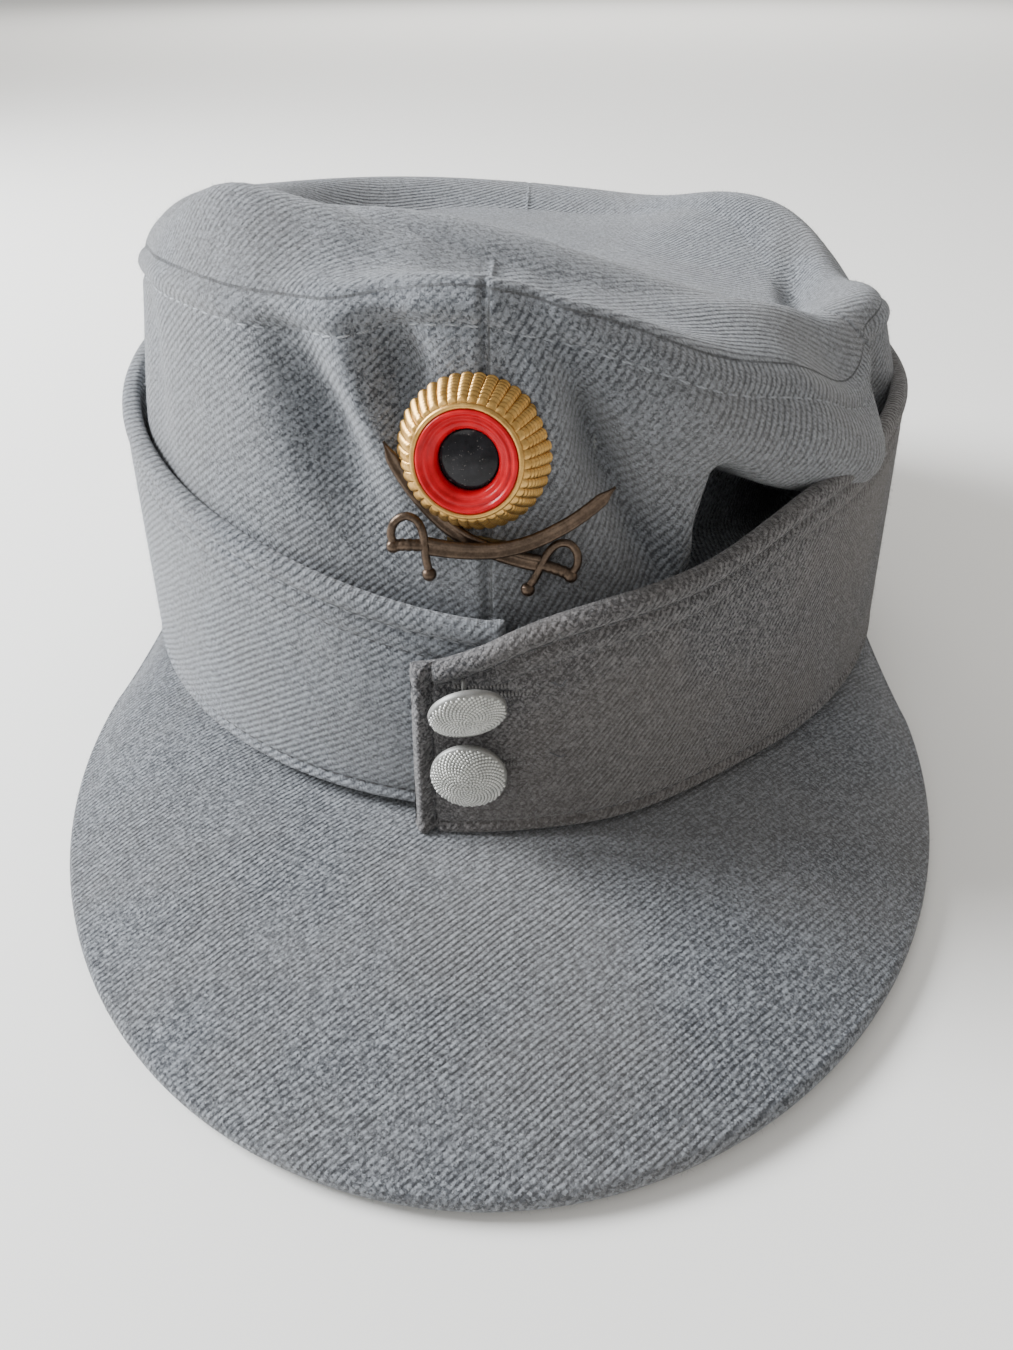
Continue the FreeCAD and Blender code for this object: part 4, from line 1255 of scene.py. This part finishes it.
# the lower sabre of the pair, hilt at -X; the lines run from hilt to tip
sabreShape = {
    "blade": [(-9.2, -1.3, 0), (-5.5, -1.2, 0), (-1.5, -0.75, 0), (2.6, 0.25, 0), (7.0, 2.4, 0),
              (11.4, 5.8, 0), (14.8, 9.4, 0), (17.4, 13.0, 0)],
    "bladeWidth": 2.9,
    "bladeThickness": 1.5,
    # thick back, a groove along the middle, a thinner cutting edge
    "bladeSection": [(-0.5, 0.0), (-0.46, 0.36), (-0.30, 0.5), (-0.16, 0.34), (0.02, 0.26), (0.16, 0.40),
                     (0.30, 0.44), (0.44, 0.2), (0.5, 0.0), (0.40, -0.4), (-0.40, -0.45)],
    "grip": [(-8.6, -1.3, 0), (-10.5, -1.5, 0.1), (-12.3, -1.8, 0.05), (-13.6, -2.2, 0)],
    "gripWidth": 1.85,
    "guard": [(-13.7, -2.2, 0.1), (-14.4, -0.3, 0.2), (-14.0, 1.6, 0.3), (-12.6, 2.8, 0.3),
              (-10.9, 2.5, 0.3), (-9.7, 0.9, 0.3), (-9.0, -1.4, 0.35), (-8.5, -3.4, 0.3),
              (-7.8, -5.3, 0.2)],
    "guardWire": (1.35, 1.3),
    "balls": [((-7.7, -5.7, 0.2), 1.15), ((-13.8, -2.3, 0.1), 1.1)],
}


# a sabre lies flat, its hilt on one side and its tip on the other
def makeSabre(side, lift):
    flipX = np.array([-side, 1, 1])

    def shapeLine(key, count):
        return throughPoints(np.array(sabreShape[key]) * flipX, count)

    share = np.linspace(0, 1, 64)
    widths = sabreShape["bladeWidth"] * (1 - 0.3 * share) * (1 - smooth((share - 0.9) / 0.1) * 0.85)
    heights = sabreShape["bladeThickness"] * (1 - 0.35 * share)
    ribs = sabreShape["gripWidth"] + 0.2 * np.abs(np.sin(np.linspace(0, 5 * math.pi, 26)))
    parts = [sweep("blade", shapeLine("blade", 64), widths, heights, sabreShape["bladeSection"]),
             sweep("grip", shapeLine("grip", 26), ribs, ribs * 0.95, roundSection),
             sweep("guard", shapeLine("guard", 56), *sabreShape["guardWire"], roundSection)]
    for place, radius in sabreShape["balls"]:
        ball = revolved("ball", circlePoints(11, radius, start=-math.pi / 2, end=math.pi / 2), 16)
        ball.data.transform(Matrix.Translation(Vector(np.array(place) * flipX) * mm))
        parts.append(ball)
    for part in parts:
        paint(part, finishes["bronze"])
    sabre = joinPieces("sabre", parts)
    sabre.data.transform(Matrix.Translation(Vector((0, 0, lift)) * mm))
    return sabre


# the badge stands just off the front seam
rise = (insignia["badgeHeight"] - rimZ(-cap["headHalfLength"])) / (97 - rimZ(-cap["headHalfLength"]))
leanBack = (cap["headHalfLength"] + cap["crownOut"] - cap["topHalfLength"]) * rise**1.2
wallY = -(cap["headHalfLength"] + cap["crownOut"] - leanBack)
badgeOrigin = np.array([0, wallY, insignia["badgeHeight"]]) + outVector * 0.6
for name, side, lift in (("lower", 1, 1.25), ("upper", -1, 2.5)):
    sabre = makeSabre(side, lift)
    sabre.name = f"{name}_sabre"
    placed(sabre, badgeOrigin, lean, math.radians(insignia["badgeTurn"]))
    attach(sabre, "crown")
    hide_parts(f"sabre_{name}")
print("insignia made")

# CAD nodes that stay take their finishes here
nodeFinishes = {
    "sweatband": "leather", "size_label": "label", "flap_root_tape": "wool",
    "upper_button_thread": "thread", "lower_button_thread": "thread",
    "roundel_prongs": "brassWire", "badge_prongs": "brassWire",
    "roundel_washer": "steel", "badge_washer": "steel",
}
for name, finish in nodeFinishes.items():
    shown = frame["nodes"][name]
    for held in [shown, *shown.children_recursive]:
        if held.type == "MESH":
            for slot in held.material_slots:
                slot.material = finishes[finish]

# place, aim, width, watts, colour
lamps = {
    "window": ((-0.95, 0.10, 0.62), (0, -0.03, 0.05), 0.5, 40, (0.95, 0.975, 1.0)),
    "frontFill": ((-0.55, -0.95, 0.75), (0, -0.05, 0.04), 0.7, 2.2, (1.0, 0.99, 0.97)),
    "warmFill": ((0.9, -0.1, 0.45), (0, 0, 0.05), 0.6, 0.7, (1.0, 0.80, 0.60)),
    "backLight": ((0, 2.7, 1.5), (0, 2.3, 0), 2.4, 62, (1.0, 0.995, 0.97)),
}
sky = {"colour": (0.96, 0.955, 0.94, 1), "strength": 0.54}

view = {
    "place": (11.75, -235.44, 137.44),
    "yaw": -3.63,
    "pitch": -35.44,
    "roll": -0.77,
    "lens": 27.11,
}


def placeCamera():
    yaw, pitch, roll = (math.radians(view[k]) for k in ("yaw", "pitch", "roll"))
    ahead = Vector((math.sin(yaw) * math.cos(pitch), math.cos(yaw) * math.cos(pitch), math.sin(pitch)))
    level = Vector((math.cos(yaw), -math.sin(yaw), 0))
    upright = level.cross(ahead)
    right = math.cos(roll) * level + math.sin(roll) * upright
    up = -math.sin(roll) * level + math.cos(roll) * upright
    camera = bpy.data.objects.new("camera", bpy.data.cameras.new("camera"))
    turned = Matrix((right, up, -ahead)).transposed().to_4x4()
    camera.matrix_world = Matrix.Translation(Vector(view["place"]) * mm) @ turned
    camera.data.lens = view["lens"]
    camera.data.sensor_width = 36
    camera.data.clip_start = 0.01
    bpy.context.scene.collection.objects.link(camera)
    bpy.context.scene.camera = camera


def areaLight(name, place, aim, width, power, colour):
    lamp = bpy.data.lights.new(name, "AREA")
    lamp.shape = "RECTANGLE"
    lamp.size = width
    lamp.size_y = width * 0.8
    lamp.energy = power
    lamp.color = colour
    light = bpy.data.objects.new(name, lamp)
    light.location = place
    light.rotation_euler = (Vector(aim) - Vector(place)).to_track_quat("-Z", "Y").to_euler()
    bpy.context.scene.collection.objects.link(light)


placeCamera()
floorMesh = bpy.data.meshes.new("floor")
floorMesh.from_pydata([(-6, -6, 0), (6, -6, 0), (6, 6, 0), (-6, 6, 0)], [], [(0, 1, 2, 3)])
floor = bpy.data.objects.new("floor", floorMesh)
bpy.context.scene.collection.objects.link(floor)
floorFinish = Finish("floorPaint", Roughness=0.6)
pale = floorFinish.mix(floorFinish.noise(60, 2) * 0.3, (0.90, 0.89, 0.86), (0.93, 0.92, 0.89))
paint(floor, floorFinish.finish(Base_Color=pale))
floor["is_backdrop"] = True
for name, values in lamps.items():
    areaLight(name, *values)
world = bpy.data.worlds.new("studio")
bpy.context.scene.world = world
world.use_nodes = True
background = world.node_tree.nodes["Background"]
background.inputs["Color"].default_value = sky["colour"]
background.inputs["Strength"].default_value = sky["strength"]
print("stage made")

low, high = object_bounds()
